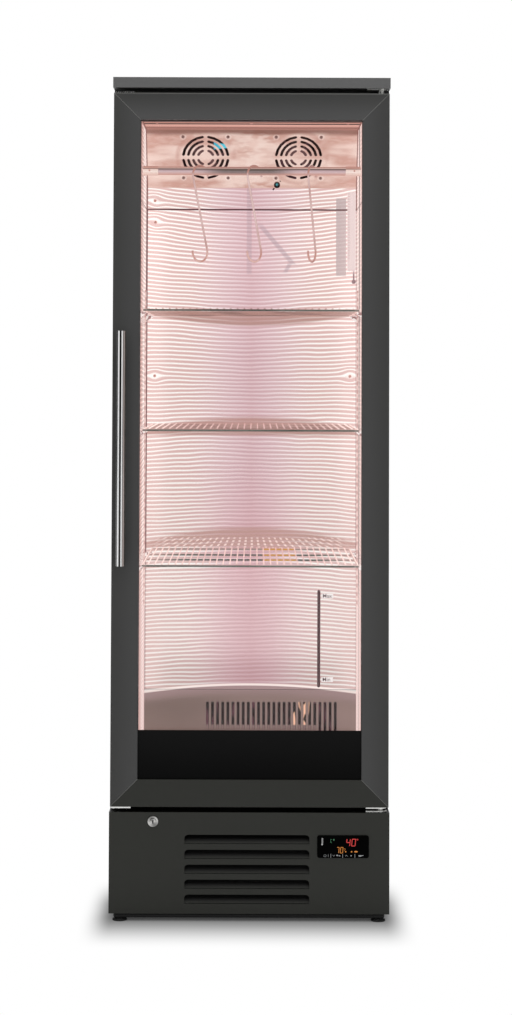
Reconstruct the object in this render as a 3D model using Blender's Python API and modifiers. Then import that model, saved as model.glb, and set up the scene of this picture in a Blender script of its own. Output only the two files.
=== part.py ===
"""Dry ageing cabinet: an insulated upright cabinet with a framed glass door, over a machine base.

Metres, +Z up, front towards -Y. The origin is on the floor, under the middle of the bounding box.
"""

import math

import bmesh
import bpy
from mathutils import Matrix, Vector

# Overall sizes
WIDTH = 0.600
CARCASS_DEPTH = 0.605
FOOT_HEIGHT = 0.018
BASE_HEIGHT = 0.215
DOOR_HEIGHT = 1.533
DOOR_DEPTH = 0.045
DOOR_SIDE_MARGIN = 0.002
DOOR_BOTTOM_GAP = 0.0115
DOOR_TOP_GAP = 0.0115
DOOR_BACK_GAP = 0.008
LID_HEIGHT = 0.0225
HANDLE_REACH = 0.042

# Fits
CLEAR = 0.0003
OVERRUN = 0.002
MERGE = 0.00005

# Insulated carcass
SIDE_WALL = 0.045
TOP_WALL = 0.0322
FLOOR_WALL = 0.056
BACK_WALL = 0.045
SHELL_SHEET = 0.001
LINER_SHEET = 0.001
LID_SHEET = 0.0012
LID_RETURN = 0.020

# Machine base
PAN_SHEET = 0.0015
PANEL_SHEET = 0.0012
FOOT_RAIL_INSET = 0.010
FOOT_RAIL_WIDTH = 0.034
FOOT_RAIL_DROP = 0.010
FOOT_RAIL_SETBACK = 0.004
FOOT_RAIL_CORNER = 0.004
FOOT_PAD_RADIUS = 0.0155
FOOT_PAD_EDGE = 0.003
FOOT_NECK_RADIUS = 0.009
FOOT_STEM_RADIUS = 0.005
FOOT_STEM_LENGTH = 0.024
FOOT_INSET = 0.0228
LOUVRE_COUNT = 5
LOUVRE_LEFT_MARGIN = 0.1617
LOUVRE_RIGHT_MARGIN = 0.1711
LOUVRE_HEIGHT = 0.0192
LOUVRE_PITCH = 0.0317
LOUVRE_DROP = 0.0474
LOUVRE_CORNER = 0.008
LOUVRE_DEPTH = 0.014
GRILLE_SLOT_COLUMNS = 3
GRILLE_SLOT_ROWS = 9
GRILLE_SLOT_LENGTH = 0.140
GRILLE_SLOT_HEIGHT = 0.006
GRILLE_SLOT_PITCH = 0.016
GRILLE_SLOT_SPACING = 0.170
GLAND_RADIUS = 0.011
GLAND_HOLE_RADIUS = 0.0055
GLAND_LENGTH = 0.010
GLAND_DROP = 0.024
GLAND_INSET = 0.050

# Controller and lock on the base
CONTROLLER_WIDTH = 0.1104
CONTROLLER_HEIGHT = 0.0477
CONTROLLER_CORNER = 0.0045
CONTROLLER_PROUD = 0.0025
CONTROLLER_RIM = 0.005
CONTROLLER_BODY_DEPTH = 0.045
CONTROLLER_INSET = 0.0992
CONTROLLER_DROP = 0.0713
LOCK_INSET = 0.0941
LOCK_DROP = 0.0192
LOCK_RIM_RADIUS = 0.0115
LOCK_RIM_PROUD = 0.003
LOCK_BARREL_RADIUS = 0.0095
LOCK_BARREL_LENGTH = 0.014
LOCK_PLUG_RADIUS = 0.007
LOCK_PLUG_PROUD = 0.0065
LOCK_CAM_WIDTH = 0.010
LOCK_CAM_SHEET = 0.002
LOCK_CAM_BITE = 0.0055
LOCK_SLOT_PLAY = 0.0012
KEYHOLE_LENGTH = 0.0075
KEYHOLE_WIDTH = 0.0016
KEYHOLE_DEPTH = 0.003

# Refrigeration in the base
CONDENSER_SIDE_GAP = 0.0086
CONDENSER_HEIGHT = 0.188
CONDENSER_DEPTH = 0.044
CONDENSER_SETBACK = 0.020
CONDENSER_FINS = 20
FIN_GAP = 0.004
FIN_CUT = 0.018
BIG_FAN_SHARE = 0.328
BIG_FAN_DEPTH = 0.030
BIG_HUB_RADIUS = 0.026
COMPRESSOR_INSET = 0.170
COMPRESSOR_SETBACK = 0.165
COMPRESSOR_RADIUS = 0.074
COMPRESSOR_HEIGHT = 0.172
COMPRESSOR_SHOULDER = 0.040
COMPRESSOR_PLATE_WIDTH = 0.200
COMPRESSOR_PLATE_DEPTH = 0.110
COMPRESSOR_PLATE = 0.003
GROMMET_RADIUS = 0.012
GROMMET_HEIGHT = 0.012
GROMMET_INSET = 0.016
TRAY_SIDE_GAP = 0.050
TRAY_COMPRESSOR_GAP = 0.060
TRAY_SETBACK = 0.160
TRAY_DEPTH = 0.200
TRAY_HEIGHT = 0.050
TRAY_WALL = 0.002

# Door
FRAME_WIDTH = 0.058
FRAME_WALL = 0.003
FRAME_LIP = 0.0055
FRAME_CHAMFER = 0.007
GLASS_BITE = 0.012
GLASS = 0.004
SPACER_DEPTH = 0.012
SPACER_WIDTH = 0.008
GASKET_WIDTH = 0.016
GASKET_OFFSET = 0.002
HANDLE_RADIUS = 0.010
HANDLE_LENGTH = 0.502
HANDLE_INSET = 0.021
HANDLE_BOTTOM = 0.5155
HANDLE_POST_RADIUS = 0.006
HANDLE_POST_INSET = 0.055
HANDLE_END_CHAMFER = 0.0008
HINGE_INSET = 0.0175
HINGE_SETBACK = 0.020
HINGE_PLATE = 0.003
HINGE_ARM = 0.031
HINGE_HALF_WIDTH = 0.0145
HINGE_PIN_RADIUS = 0.004
HINGE_COLLAR_RADIUS = 0.0065
HINGE_PIN_BITE = 0.011
HINGE_TAIL = 0.018
CORNER_PLATE_LENGTH = 0.042
CORNER_PLATE_DEPTH = 0.034
CORNER_PLATE_INSET = 0.002
STOP_RADIUS = 0.003
STOP_LENGTH = 0.0035
STOP_SHARES = (0.12, 0.38)

# Chamber fittings
DUCT_DEPTH = 0.040
PANEL_GAUGE = 0.001
COVER_APRON = 0.0522
COVER_DROP = 0.188
COVER_SLANT = 30.0
COVER_FLANGE = 0.140
FAN_SPACING = 0.2236
FAN_DROP = 0.066
FAN_SIZE = 0.1195
FAN_DEPTH = 0.020
FAN_BORE_RADIUS = 0.0575
FAN_HUB_RADIUS = 0.019
FAN_STRUT_WIDTH = 0.005
FAN_STRUT_DEPTH = 0.003
FAN_BLADES = 7
BIG_FAN_BLADES = 5
BLADE_SHEET = 0.0016
BLADE_CUT_COUNT = 2
BLADE_PITCH = 38.0
BLADE_TWIST = 14.0
BLADE_FLARE_SHARE = 0.5
BLADE_TIP_CLEARANCE = 0.0025
GUARD_RINGS = 4
GUARD_OUTER_RADIUS = 0.0540
GUARD_RING_PITCH = 0.0118
GUARD_SLOT_WIDTH = 0.0068
GUARD_RIB = 0.0075
GUARD_STEP = 15.0
COIL_SIDE_GAP = 0.045
COIL_HEIGHT = 0.165
COIL_DEPTH = 0.026
COIL_DROP = 0.008
COIL_FINS = 24
GRILLE_TOP = 0.121
GRILLE_PROUD = 0.008
INTAKE_SLOTS = 26
INTAKE_SLOT_PITCH = 0.0123
INTAKE_SLOT_WIDTH = 0.0053
INTAKE_SLOT_TOP = 0.0921
INTAKE_SLOT_BOTTOM = 0.012
INTAKE_OFFSET = 0.051
LEVEL_INSET = 0.090
LEVEL_WIDTH = 0.0074
LEVEL_BOTTOM = 0.1258
LEVEL_LENGTH = 0.2343
TANK_WIDTH = 0.100
TANK_HEIGHT = 0.255
TANK_WALL = 0.002
PROBE_X = 0.0605
PROBE_RISE = 0.010
PROBE_RADIUS = 0.0075
PROBE_BORE_RADIUS = 0.004
PROBE_LENGTH = 0.006
STERILISER_WIDTH = 0.019
STERILISER_DEPTH = 0.030
STERILISER_HEIGHT = 0.190
STERILISER_RISE = 0.0411
STERILISER_WALL_GAP = 0.0045
STERILISER_VENTS = 6
STERILISER_VENT_HEIGHT = 0.016
STERILISER_VENT_WIDTH = 0.004
STERILISER_BEVEL = 0.002
LEAD_RADIUS = 0.002
LEAD_DROP = 0.026
LEAD_INSET = 0.0035
GLAND_SMALL_RADIUS = 0.005
GLAND_SMALL_LENGTH = 0.009
LED_WIDTH = 0.009
LED_DEPTH = 0.014
LED_SETBACK = 0.008
LED_MARGIN = 0.030

# Shelves, hanging bar and hooks
SHELF_HEIGHTS = {"lower": 0.4587, "middle": 0.7567, "upper": 1.0217}
SHELF_FRONT_SETBACK = 0.058
SHELF_BACK_GAP = 0.016
SHELF_SIDE_GAP = 0.0175
SHELF_RIM_RADIUS = 0.0024
SHELF_WIRE_RADIUS = 0.0015
SHELF_WIRES = 31
SHELF_WELD_SHARE = 0.4
SHELF_CROSS_SHARES = (0.36, 0.65)
SHELF_CROSS_RADIUS = 0.002
SHELF_CORNER = 0.008
SHELF_END_MARGIN = 0.0125
STANDARD_WIDTH = 0.016
STANDARD_SHEET = 0.003
STANDARD_BOTTOM = 0.330
STANDARD_TOP = 1.080
STANDARD_INSET = 0.055
CLIP_HEIGHT = 0.016
CLIP_NOSE = 0.004
CLIP_WIDTH = 0.010
CLIP_REACH = 0.002
BAR_RADIUS = 0.010
BAR_DROP = 0.111
BAR_TO_BACK = 0.175
SOCKET_RADIUS = 0.0118
SOCKET_LENGTH = 0.035
SOCKET_END = 0.003
HOOK_WIRE_RADIUS = 0.0023
HOOK_BEND_RADIUS = 0.023
HOOK_LENGTH = 0.230
HOOK_PLACES = {"left": (-0.1210, 47.0), "middle": (0.0060, 45.0), "right": (0.1410, 24.0)}
HOOK_TIP_SWEEP = 200.0
HOOK_BEND_STEPS = 16

# Facets of round pieces
ROUND_STEPS = 24
SMALL_STEPS = 14
CORNER_STEPS = 4
SMOOTH_ANGLE = 35.0

# Planes and heights that the sizes above set
DEPTH = HANDLE_REACH + DOOR_DEPTH + DOOR_BACK_GAP + CARCASS_DEPTH
HALF_WIDTH = WIDTH / 2
FRONT_Y = HANDLE_REACH - DEPTH / 2
DOOR_BACK_Y = FRONT_Y + DOOR_DEPTH
CARCASS_FRONT_Y = DOOR_BACK_Y + DOOR_BACK_GAP
CARCASS_BACK_Y = CARCASS_FRONT_Y + CARCASS_DEPTH
BASE_TOP_Z = FOOT_HEIGHT + BASE_HEIGHT
DOOR_BOTTOM_Z = BASE_TOP_Z + DOOR_BOTTOM_GAP
DOOR_TOP_Z = DOOR_BOTTOM_Z + DOOR_HEIGHT
LID_BOTTOM_Z = DOOR_TOP_Z + DOOR_TOP_GAP
HEIGHT = LID_BOTTOM_Z + LID_HEIGHT
CARCASS_BOTTOM_Z = BASE_TOP_Z + CLEAR
CARCASS_TOP_Z = LID_BOTTOM_Z - CLEAR
FLOOR_Z = CARCASS_BOTTOM_Z + FLOOR_WALL
CEILING_Z = CARCASS_TOP_Z - TOP_WALL
INNER_X = HALF_WIDTH - SIDE_WALL
LINER_BACK_Y = CARCASS_BACK_Y - BACK_WALL
BACK_PANEL_Y = LINER_BACK_Y - DUCT_DEPTH
PAN_FLOOR_Z = FOOT_HEIGHT + PAN_SHEET
PANEL_BACK_Y = FRONT_Y + PANEL_SHEET
DOOR_HALF_WIDTH = HALF_WIDTH - DOOR_SIDE_MARGIN
FITTING_X = INNER_X - CLEAR
SEAM_Z = CEILING_Z - COVER_DROP
CONTROLLER_X = HALF_WIDTH - CONTROLLER_INSET
LOCK_X = LOCK_INSET - HALF_WIDTH
COMPRESSOR_X = HALF_WIDTH - COMPRESSOR_INSET
LEVEL_X = INNER_X - LEVEL_INSET
LOUVRE_WIDTH = WIDTH - LOUVRE_LEFT_MARGIN - LOUVRE_RIGHT_MARGIN
LOUVRE_OFFSET = (LOUVRE_LEFT_MARGIN - LOUVRE_RIGHT_MARGIN) / 2
CONDENSER_WIDTH = LOUVRE_WIDTH - 2 * CONDENSER_SIDE_GAP
BIG_FAN_RADIUS = CONDENSER_WIDTH * BIG_FAN_SHARE
COIL_WIDTH = 2 * (INNER_X - COIL_SIDE_GAP)

# Directions of the faces of a box
FRONT = (0, -1, 0)
BACK = (0, 1, 0)
DOWN = (0, 0, -1)
UP = (0, 0, 1)

# Turns that stand a flat outline up: facing the front, facing the right side
FACING_FRONT = Matrix.Rotation(math.radians(90), 4, "X")
FACING_RIGHT = Matrix(((0, 0, 1, 0), (1, 0, 0, 0), (0, 1, 0, 0), (0, 0, 0, 1)))

# Colour, roughness and metallic value of each finish
FINISHES = {
    "charcoal_paint": ((0.052, 0.052, 0.048), 0.38, 0.3),
    "lid_paint": ((0.122, 0.122, 0.120), 0.40, 0.3),
    "black_paint": ((0.010, 0.010, 0.010), 0.45, 0.2),
    "galvanised": ((0.52, 0.53, 0.54), 0.42, 0.9),
    "copper_steel": ((0.86, 0.62, 0.57), 0.20, 1.0),
    "brushed_steel": ((0.42, 0.36, 0.34), 0.34, 1.0),
    "polished_steel": ((0.72, 0.70, 0.68), 0.12, 1.0),
    "wire_steel": ((0.66, 0.62, 0.58), 0.25, 1.0),
    "zinc": ((0.62, 0.62, 0.60), 0.38, 0.9),
    "aluminium": ((0.62, 0.62, 0.63), 0.40, 0.9),
    "foam": ((0.80, 0.72, 0.46), 0.90, 0.0),
    "clear_glass": ((0.72, 0.80, 0.78), 0.04, 0.0),
    "black_gloss": ((0.006, 0.006, 0.007), 0.08, 0.0),
    "black_plastic": ((0.015, 0.015, 0.016), 0.50, 0.0),
    "black_rubber": ((0.020, 0.020, 0.020), 0.75, 0.0),
    "white_plastic": ((0.80, 0.78, 0.76), 0.45, 0.0),
    "diffuser": ((0.95, 0.90, 0.86), 0.40, 0.0),
}


def clear_scene():
    for obj in list(bpy.data.objects):
        bpy.data.objects.remove(obj, do_unlink=True)


def new_collection(name, hidden=False):
    collection = bpy.data.collections.new(name)
    collection.hide_render = hidden
    bpy.context.scene.collection.children.link(collection)
    return collection


def new_finish(name):
    colour, roughness, metallic = FINISHES[name]
    material = bpy.data.materials.new(name)
    material.use_nodes = True
    shader = material.node_tree.nodes["Principled BSDF"]
    shader.inputs["Base Color"].default_value = (*colour, 1)
    shader.inputs["Roughness"].default_value = roughness
    shader.inputs["Metallic"].default_value = metallic
    return material


clear_scene()
PARTS = new_collection("dry_ageing_cabinet")
CUTTERS = new_collection("cutters", hidden=True)
MATERIALS = {name: new_finish(name) for name in FINISHES}


def part(name, data, finish, place=None):
    """Adds a piece of the cabinet: a mesh or a curve, with its finish."""
    obj = bpy.data.objects.new(name, data)
    PARTS.objects.link(obj)
    data.materials.clear()
    data.materials.append(MATERIALS[finish])
    obj.matrix_world = place or Matrix()
    return obj


def tool(name, data, place=None):
    """Adds a helper shape, which cuts a piece or is welded to it."""
    obj = bpy.data.objects.new(name, data)
    CUTTERS.objects.link(obj)
    obj.hide_render = True
    obj.display_type = "WIRE"
    obj.matrix_world = place or Matrix()
    return obj


def boolean(obj, other, operation):
    modifier = obj.modifiers.new(other.name, "BOOLEAN")
    modifier.operation = operation
    modifier.solver = "EXACT"
    modifier.object = other


def cut(obj, *others):
    for other in others:
        boolean(obj, other, "DIFFERENCE")


def weld(obj, *others):
    for other in others:
        boolean(obj, other, "UNION")


def bevel(obj, width, segments=2, angle=40.0):
    modifier = obj.modifiers.new("rounded edges", "BEVEL")
    modifier.width = width
    modifier.segments = segments
    modifier.limit_method = "ANGLE"
    modifier.angle_limit = math.radians(angle)


def smooth(obj):
    obj.data.shade_smooth()
    obj.data.set_sharp_from_angle(angle=math.radians(SMOOTH_ANGLE))


def mesh_from(bm, name):
    mesh = bpy.data.meshes.new(name)
    bm.to_mesh(mesh)
    bm.free()
    return mesh


def add_box(bm, low, high):
    low, high = Vector(low), Vector(high)
    place = Matrix.Translation((low + high) / 2) @ Matrix.Diagonal((*(high - low), 1))
    return bmesh.ops.create_cube(bm, size=1, matrix=place)["verts"]


def add_rod(bm, start, end, radius, sides=ROUND_STEPS, end_radius=None):
    start, end = Vector(start), Vector(end)
    along = end - start
    turn = Vector(UP).rotation_difference(along).to_matrix().to_4x4()
    return bmesh.ops.create_cone(
        bm,
        cap_ends=True,
        segments=sides,
        radius1=radius,
        radius2=radius if end_radius is None else end_radius,
        depth=along.length,
        matrix=Matrix.Translation((start + end) / 2) @ turn,
    )["verts"]


def box_mesh(name, *boxes):
    bm = bmesh.new()
    for low, high in boxes:
        add_box(bm, low, high)
    return mesh_from(bm, name)


def rod_mesh(name, *rods, sides=ROUND_STEPS):
    bm = bmesh.new()
    for start, end, radius in rods:
        add_rod(bm, start, end, radius, sides)
    return mesh_from(bm, name)


def folded_sheet(name, low, high, openings, sheet, finish, outwards=False):
    """A box of folded sheet, open on some sides. The sheet lies inside the given size, or outside it."""
    bm = bmesh.new()
    add_box(bm, low, high)
    bm.normal_update()
    open_sides = [Vector(side) for side in openings]
    away = [face for face in bm.faces if any((face.normal - side).length < MERGE for side in open_sides)]
    bmesh.ops.delete(bm, geom=away, context="FACES")
    obj = part(name, mesh_from(bm, name), finish)
    modifier = obj.modifiers.new("sheet", "SOLIDIFY")
    modifier.thickness = sheet
    modifier.offset = 1 if outwards else -1
    modifier.use_even_offset = True
    return obj


def flat_curve(name, outlines, thickness):
    """A flat plate of this thickness, centred on its plane. Outlines inside the first are holes."""
    curve = bpy.data.curves.new(name, "CURVE")
    curve.dimensions = "2D"
    curve.fill_mode = "BOTH"
    curve.extrude = thickness / 2
    for outline in outlines:
        spline = curve.splines.new("POLY")
        spline.points.add(len(outline) - 1)
        for point, (x, y) in zip(spline.points, outline):
            point.co = (x, y, 0, 1)
        spline.use_cyclic_u = True
    return curve


def curve_mesh(curve):
    """The closed mesh of a curve, with its caps welded on."""
    holder = bpy.data.objects.new(curve.name, curve)
    CUTTERS.objects.link(holder)
    bpy.context.view_layer.update()
    graph = bpy.context.evaluated_depsgraph_get()
    mesh = bpy.data.meshes.new_from_object(holder.evaluated_get(graph))
    mesh.name = curve.name
    bpy.data.objects.remove(holder, do_unlink=True)
    bm = bmesh.new()
    bm.from_mesh(mesh)
    bmesh.ops.remove_doubles(bm, verts=bm.verts, dist=MERGE)
    bmesh.ops.recalc_face_normals(bm, faces=bm.faces)
    bm.to_mesh(mesh)
    bm.free()
    return mesh


def plate_mesh(name, outlines, thickness):
    return curve_mesh(flat_curve(name, outlines, thickness))


def wire_curve(name, points, radius, resolution=2):
    curve = bpy.data.curves.new(name, "CURVE")
    curve.dimensions = "3D"
    curve.bevel_depth = radius
    curve.bevel_resolution = resolution
    curve.use_fill_caps = True
    spline = curve.splines.new("POLY")
    spline.points.add(len(points) - 1)
    for point, place in zip(spline.points, points):
        point.co = (*place, 1)
    return curve


def turned(name, profile, closed=False):
    """A mesh holding a profile of (radius, height) points, run down its outer side."""
    bm = bmesh.new()
    points = [bm.verts.new((radius, 0, height)) for radius, height in profile]
    for first, second in zip(points, points[1:]):
        bm.edges.new((first, second))
    if closed:
        bm.edges.new((points[-1], points[0]))
    return mesh_from(bm, name)


def spin(obj, steps):
    modifier = obj.modifiers.new("turned", "SCREW")
    modifier.angle = math.tau
    modifier.axis = "Z"
    modifier.steps = steps
    modifier.render_steps = steps
    modifier.use_merge_vertices = True
    modifier.merge_threshold = MERGE
    modifier.use_smooth_shade = True


def arc(centre, radius, start, end, steps):
    """Points on an arc, from one angle to another in degrees, both ends included."""
    points = []
    for step in range(steps + 1):
        angle = math.radians(start + (end - start) * step / steps)
        points.append((centre[0] + radius * math.cos(angle), centre[1] + radius * math.sin(angle)))
    return points


def rectangle(low, high):
    return [low, (high[0], low[1]), high, (low[0], high[1])]


def rounded_rectangle(low, high, radius, square_foot=False):
    """An outline with round corners, or with only its upper corners round."""
    points = []
    corners = ((high[0], low[1], 270), (high[0], high[1], 0), (low[0], high[1], 90), (low[0], low[1], 180))
    for x, y, start in corners:
        if square_foot and y == low[1]:
            points.append((x, y))
            continue
        inner_x = x - math.copysign(radius, x - low[0] - radius)
        inner_y = y - math.copysign(radius, y - low[1] - radius)
        points += arc((inner_x, inner_y), radius, start, start + 90, CORNER_STEPS)
    return points


def placed(x, y, z, turn=None):
    return Matrix.Translation((x, y, z)) @ (turn or Matrix())


def outer_shell():
    """Painted steel casing: four sides and the front flange that the door seals on."""
    low = (-HALF_WIDTH, CARCASS_FRONT_Y, CARCASS_BOTTOM_Z)
    high = (HALF_WIDTH, CARCASS_BACK_Y, CARCASS_TOP_Z)
    shell = folded_sheet("outer_shell", low, high, [BACK], SHELL_SHEET, "charcoal_paint")
    window_low = (-INNER_X, CARCASS_FRONT_Y - OVERRUN, FLOOR_Z)
    window_high = (INNER_X, CARCASS_FRONT_Y + SHELL_SHEET + OVERRUN, CEILING_Z)
    cut(shell, tool("shell_window", box_mesh("shell_window", (window_low, window_high))))


def rear_panel():
    side = HALF_WIDTH - SHELL_SHEET - CLEAR
    low = (-side, CARCASS_BACK_Y - SHELL_SHEET, CARCASS_BOTTOM_Z + SHELL_SHEET + CLEAR)
    high = (side, CARCASS_BACK_Y, CARCASS_TOP_Z - SHELL_SHEET - CLEAR)
    part("rear_panel", box_mesh("rear_panel", (low, high)), "galvanised")


def foam_insulation():
    """Foam that fills the space between the casing and the liner."""
    skin = SHELL_SHEET + CLEAR
    low = (-HALF_WIDTH + skin, CARCASS_FRONT_Y + skin, CARCASS_BOTTOM_Z + skin)
    high = (HALF_WIDTH - skin, CARCASS_BACK_Y - skin, CARCASS_TOP_Z - skin)
    foam = part("foam_insulation", box_mesh("foam_insulation", (low, high)), "foam")
    inner = LINER_SHEET + CLEAR
    cavity_low = (-INNER_X - inner, CARCASS_FRONT_Y - OVERRUN, FLOOR_Z - inner)
    cavity_high = (INNER_X + inner, LINER_BACK_Y + inner, CEILING_Z + inner)
    cut(foam, tool("foam_cavity", box_mesh("foam_cavity", (cavity_low, cavity_high))))


def liner():
    """Polished steel lining of the chamber, open to the front."""
    low = (-INNER_X, CARCASS_FRONT_Y + SHELL_SHEET + CLEAR, FLOOR_Z)
    high = (INNER_X, LINER_BACK_Y, CEILING_Z)
    folded_sheet("liner", low, high, [FRONT], LINER_SHEET, "copper_steel", outwards=True)


def top_cap():
    """Folded lid with a return flange all round its underside."""
    low = (-HALF_WIDTH, FRONT_Y, LID_BOTTOM_Z)
    high = (HALF_WIDTH, CARCASS_BACK_Y, HEIGHT)
    cap = folded_sheet("top_cap", low, high, [], LID_SHEET, "lid_paint")
    hole_low = (-HALF_WIDTH + LID_RETURN, CARCASS_FRONT_Y + LID_RETURN, LID_BOTTOM_Z - OVERRUN)
    hole_high = (HALF_WIDTH - LID_RETURN, CARCASS_BACK_Y - LID_RETURN, LID_BOTTOM_Z + LID_SHEET + OVERRUN)
    cut(cap, tool("cap_window", box_mesh("cap_window", (hole_low, hole_high))))


def foot_places():
    x = HALF_WIDTH - FOOT_INSET
    for side_name, side in (("left", -1), ("right", 1)):
        yield f"foot_front_{side_name}", side * x, FRONT_Y + FOOT_RAIL_SETBACK + FOOT_RAIL_WIDTH / 2
        yield f"foot_rear_{side_name}", side * x, CARCASS_BACK_Y - FOOT_RAIL_SETBACK - FOOT_RAIL_WIDTH / 2


def base_pan():
    """Folded floor and side walls of the machine space, with the two foot rails welded under it."""
    low = (-HALF_WIDTH, PANEL_BACK_Y + CLEAR, FOOT_HEIGHT)
    high = (HALF_WIDTH, CARCASS_BACK_Y, BASE_TOP_Z)
    pan = folded_sheet("base_pan", low, high, [FRONT, BACK, UP], PAN_SHEET, "galvanised")
    edge = HALF_WIDTH - PANEL_SHEET - CLEAR
    above = (
        (-HALF_WIDTH - OVERRUN, FRONT_Y - OVERRUN, PAN_FLOOR_Z),
        (HALF_WIDTH + OVERRUN, CARCASS_FRONT_Y, BASE_TOP_Z + OVERRUN),
    )
    left = (
        (-HALF_WIDTH - OVERRUN, FRONT_Y - OVERRUN, FOOT_HEIGHT - OVERRUN),
        (-edge, CARCASS_FRONT_Y, PAN_FLOOR_Z + OVERRUN),
    )
    right = (
        (edge, FRONT_Y - OVERRUN, FOOT_HEIGHT - OVERRUN),
        (HALF_WIDTH + OVERRUN, CARCASS_FRONT_Y, PAN_FLOOR_Z + OVERRUN),
    )
    for name, block in (("pan_front", above), ("pan_left", left), ("pan_right", right)):
        cut(pan, tool(name, box_mesh(name, block)))
    rails = []
    for name, y in (
        ("rail_front", FRONT_Y + FOOT_RAIL_SETBACK),
        ("rail_rear", CARCASS_BACK_Y - FOOT_RAIL_SETBACK - FOOT_RAIL_WIDTH),
    ):
        low = (FOOT_RAIL_INSET - HALF_WIDTH, y, FOOT_HEIGHT - FOOT_RAIL_DROP)
        high = (HALF_WIDTH - FOOT_RAIL_INSET, y + FOOT_RAIL_WIDTH, FOOT_HEIGHT + PAN_SHEET / 2)
        rail = tool(name, box_mesh(name, (low, high)))
        bevel(rail, FOOT_RAIL_CORNER)
        rails.append(rail)
    weld(pan, *rails)
    stems = [
        ((x, y, 0), (x, y, PAN_FLOOR_Z + OVERRUN), FOOT_STEM_RADIUS + CLEAR) for _, x, y in foot_places()
    ]
    cut(pan, tool("stem_holes", rod_mesh("stem_holes", *stems, sides=SMALL_STEPS)))


def feet():
    """Levelling feet: a pad on a threaded stem, screwed up into the foot rail."""
    top = FOOT_HEIGHT - FOOT_RAIL_DROP - CLEAR
    profile = [
        (0, top + FOOT_STEM_LENGTH),
        (FOOT_STEM_RADIUS, top + FOOT_STEM_LENGTH),
        (FOOT_STEM_RADIUS, top),
        (FOOT_NECK_RADIUS, top),
        (FOOT_PAD_RADIUS, FOOT_PAD_EDGE),
        (FOOT_PAD_RADIUS, 0),
        (0, 0),
    ]
    for name, x, y in foot_places():
        foot = part(name, turned(name, profile), "black_plastic", placed(x, y, 0))
        spin(foot, ROUND_STEPS)


def louvre_tops():
    return [BASE_TOP_Z - LOUVRE_DROP - row * LOUVRE_PITCH for row in range(LOUVRE_COUNT)]


def joined_mesh(name, meshes):
    """One mesh that holds several closed shapes, each given with its place."""
    bm = bmesh.new()
    for mesh, place in meshes:
        start = len(bm.verts)
        bm.from_mesh(mesh)
        bm.verts.ensure_lookup_table()
        bmesh.ops.transform(bm, matrix=place, verts=bm.verts[start:])
    return mesh_from(bm, name)


def front_panel():
    """Pressed kick panel, whose louvres are scoops pushed inwards, open at their upper edge."""
    low = (-HALF_WIDTH, FRONT_Y, FOOT_HEIGHT)
    high = (HALF_WIDTH, CARCASS_FRONT_Y - CLEAR, BASE_TOP_Z)
    panel = folded_sheet("front_panel", low, high, [BACK, DOWN], PANEL_SHEET, "charcoal_paint")
    rise_share = OVERRUN / LOUVRE_HEIGHT
    scoop = [
        (-PANEL_SHEET / 2, -PANEL_SHEET),
        (LOUVRE_DEPTH + PANEL_SHEET, LOUVRE_HEIGHT),
        (-PANEL_SHEET / 2, LOUVRE_HEIGHT),
    ]
    hollow = [
        (0, 0),
        (LOUVRE_DEPTH * (1 + rise_share), LOUVRE_HEIGHT + OVERRUN),
        (0, LOUVRE_HEIGHT + OVERRUN),
    ]
    scoop_plate = plate_mesh("louvre_scoop", [scoop], LOUVRE_WIDTH + 2 * PANEL_SHEET)
    hollow_plate = plate_mesh("louvre_hollow", [hollow], LOUVRE_WIDTH)
    side = LOUVRE_WIDTH / 2
    opening = rounded_rectangle((-side, 0), (side, LOUVRE_HEIGHT), LOUVRE_CORNER, square_foot=True)
    opening_plate = plate_mesh("louvre_opening", [opening], 2 * (PANEL_SHEET + CLEAR))
    feet_z = [top - LOUVRE_HEIGHT for top in louvre_tops()]
    behind = [placed(LOUVRE_OFFSET, PANEL_BACK_Y, z, FACING_RIGHT) for z in feet_z]
    through = [placed(LOUVRE_OFFSET, PANEL_BACK_Y - PANEL_SHEET / 2, z, FACING_FRONT) for z in feet_z]
    weld(panel, tool("scoops", joined_mesh("scoops", [(scoop_plate, place) for place in behind])))
    cut(panel, tool("hollows", joined_mesh("hollows", [(hollow_plate, place) for place in behind])))
    cut(panel, tool("openings", joined_mesh("openings", [(opening_plate, place) for place in through])))
    half_width = CONTROLLER_WIDTH / 2 - CONTROLLER_RIM + CLEAR
    half_height = CONTROLLER_HEIGHT / 2 - CONTROLLER_RIM + CLEAR
    middle_z = BASE_TOP_Z - CONTROLLER_DROP
    window = (
        (CONTROLLER_X - half_width, FRONT_Y - OVERRUN, middle_z - half_height),
        (CONTROLLER_X + half_width, PANEL_BACK_Y + OVERRUN, middle_z + half_height),
    )
    cut(panel, tool("controller_window", box_mesh("controller_window", window)))
    lock_z = BASE_TOP_Z - LOCK_DROP
    front, back = (LOCK_X, FRONT_Y - OVERRUN, lock_z), (LOCK_X, PANEL_BACK_Y + OVERRUN, lock_z)
    hole = (front, back, LOCK_BARREL_RADIUS + CLEAR)
    cut(panel, tool("lock_hole", rod_mesh("lock_hole", hole, sides=SMALL_STEPS)))
    cut(panel, tool("cam_slot", box_mesh("cam_slot", cam_slot_box(BASE_TOP_Z - PANEL_SHEET, BASE_TOP_Z))))


def cam_plane_y():
    return FRONT_Y + LOCK_BARREL_LENGTH + CLEAR


def cam_reach():
    """Length of the lock's cam, from the lock's axis to the tip that enters the door."""
    return LOCK_DROP + DOOR_BOTTOM_GAP + LOCK_CAM_BITE


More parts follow.
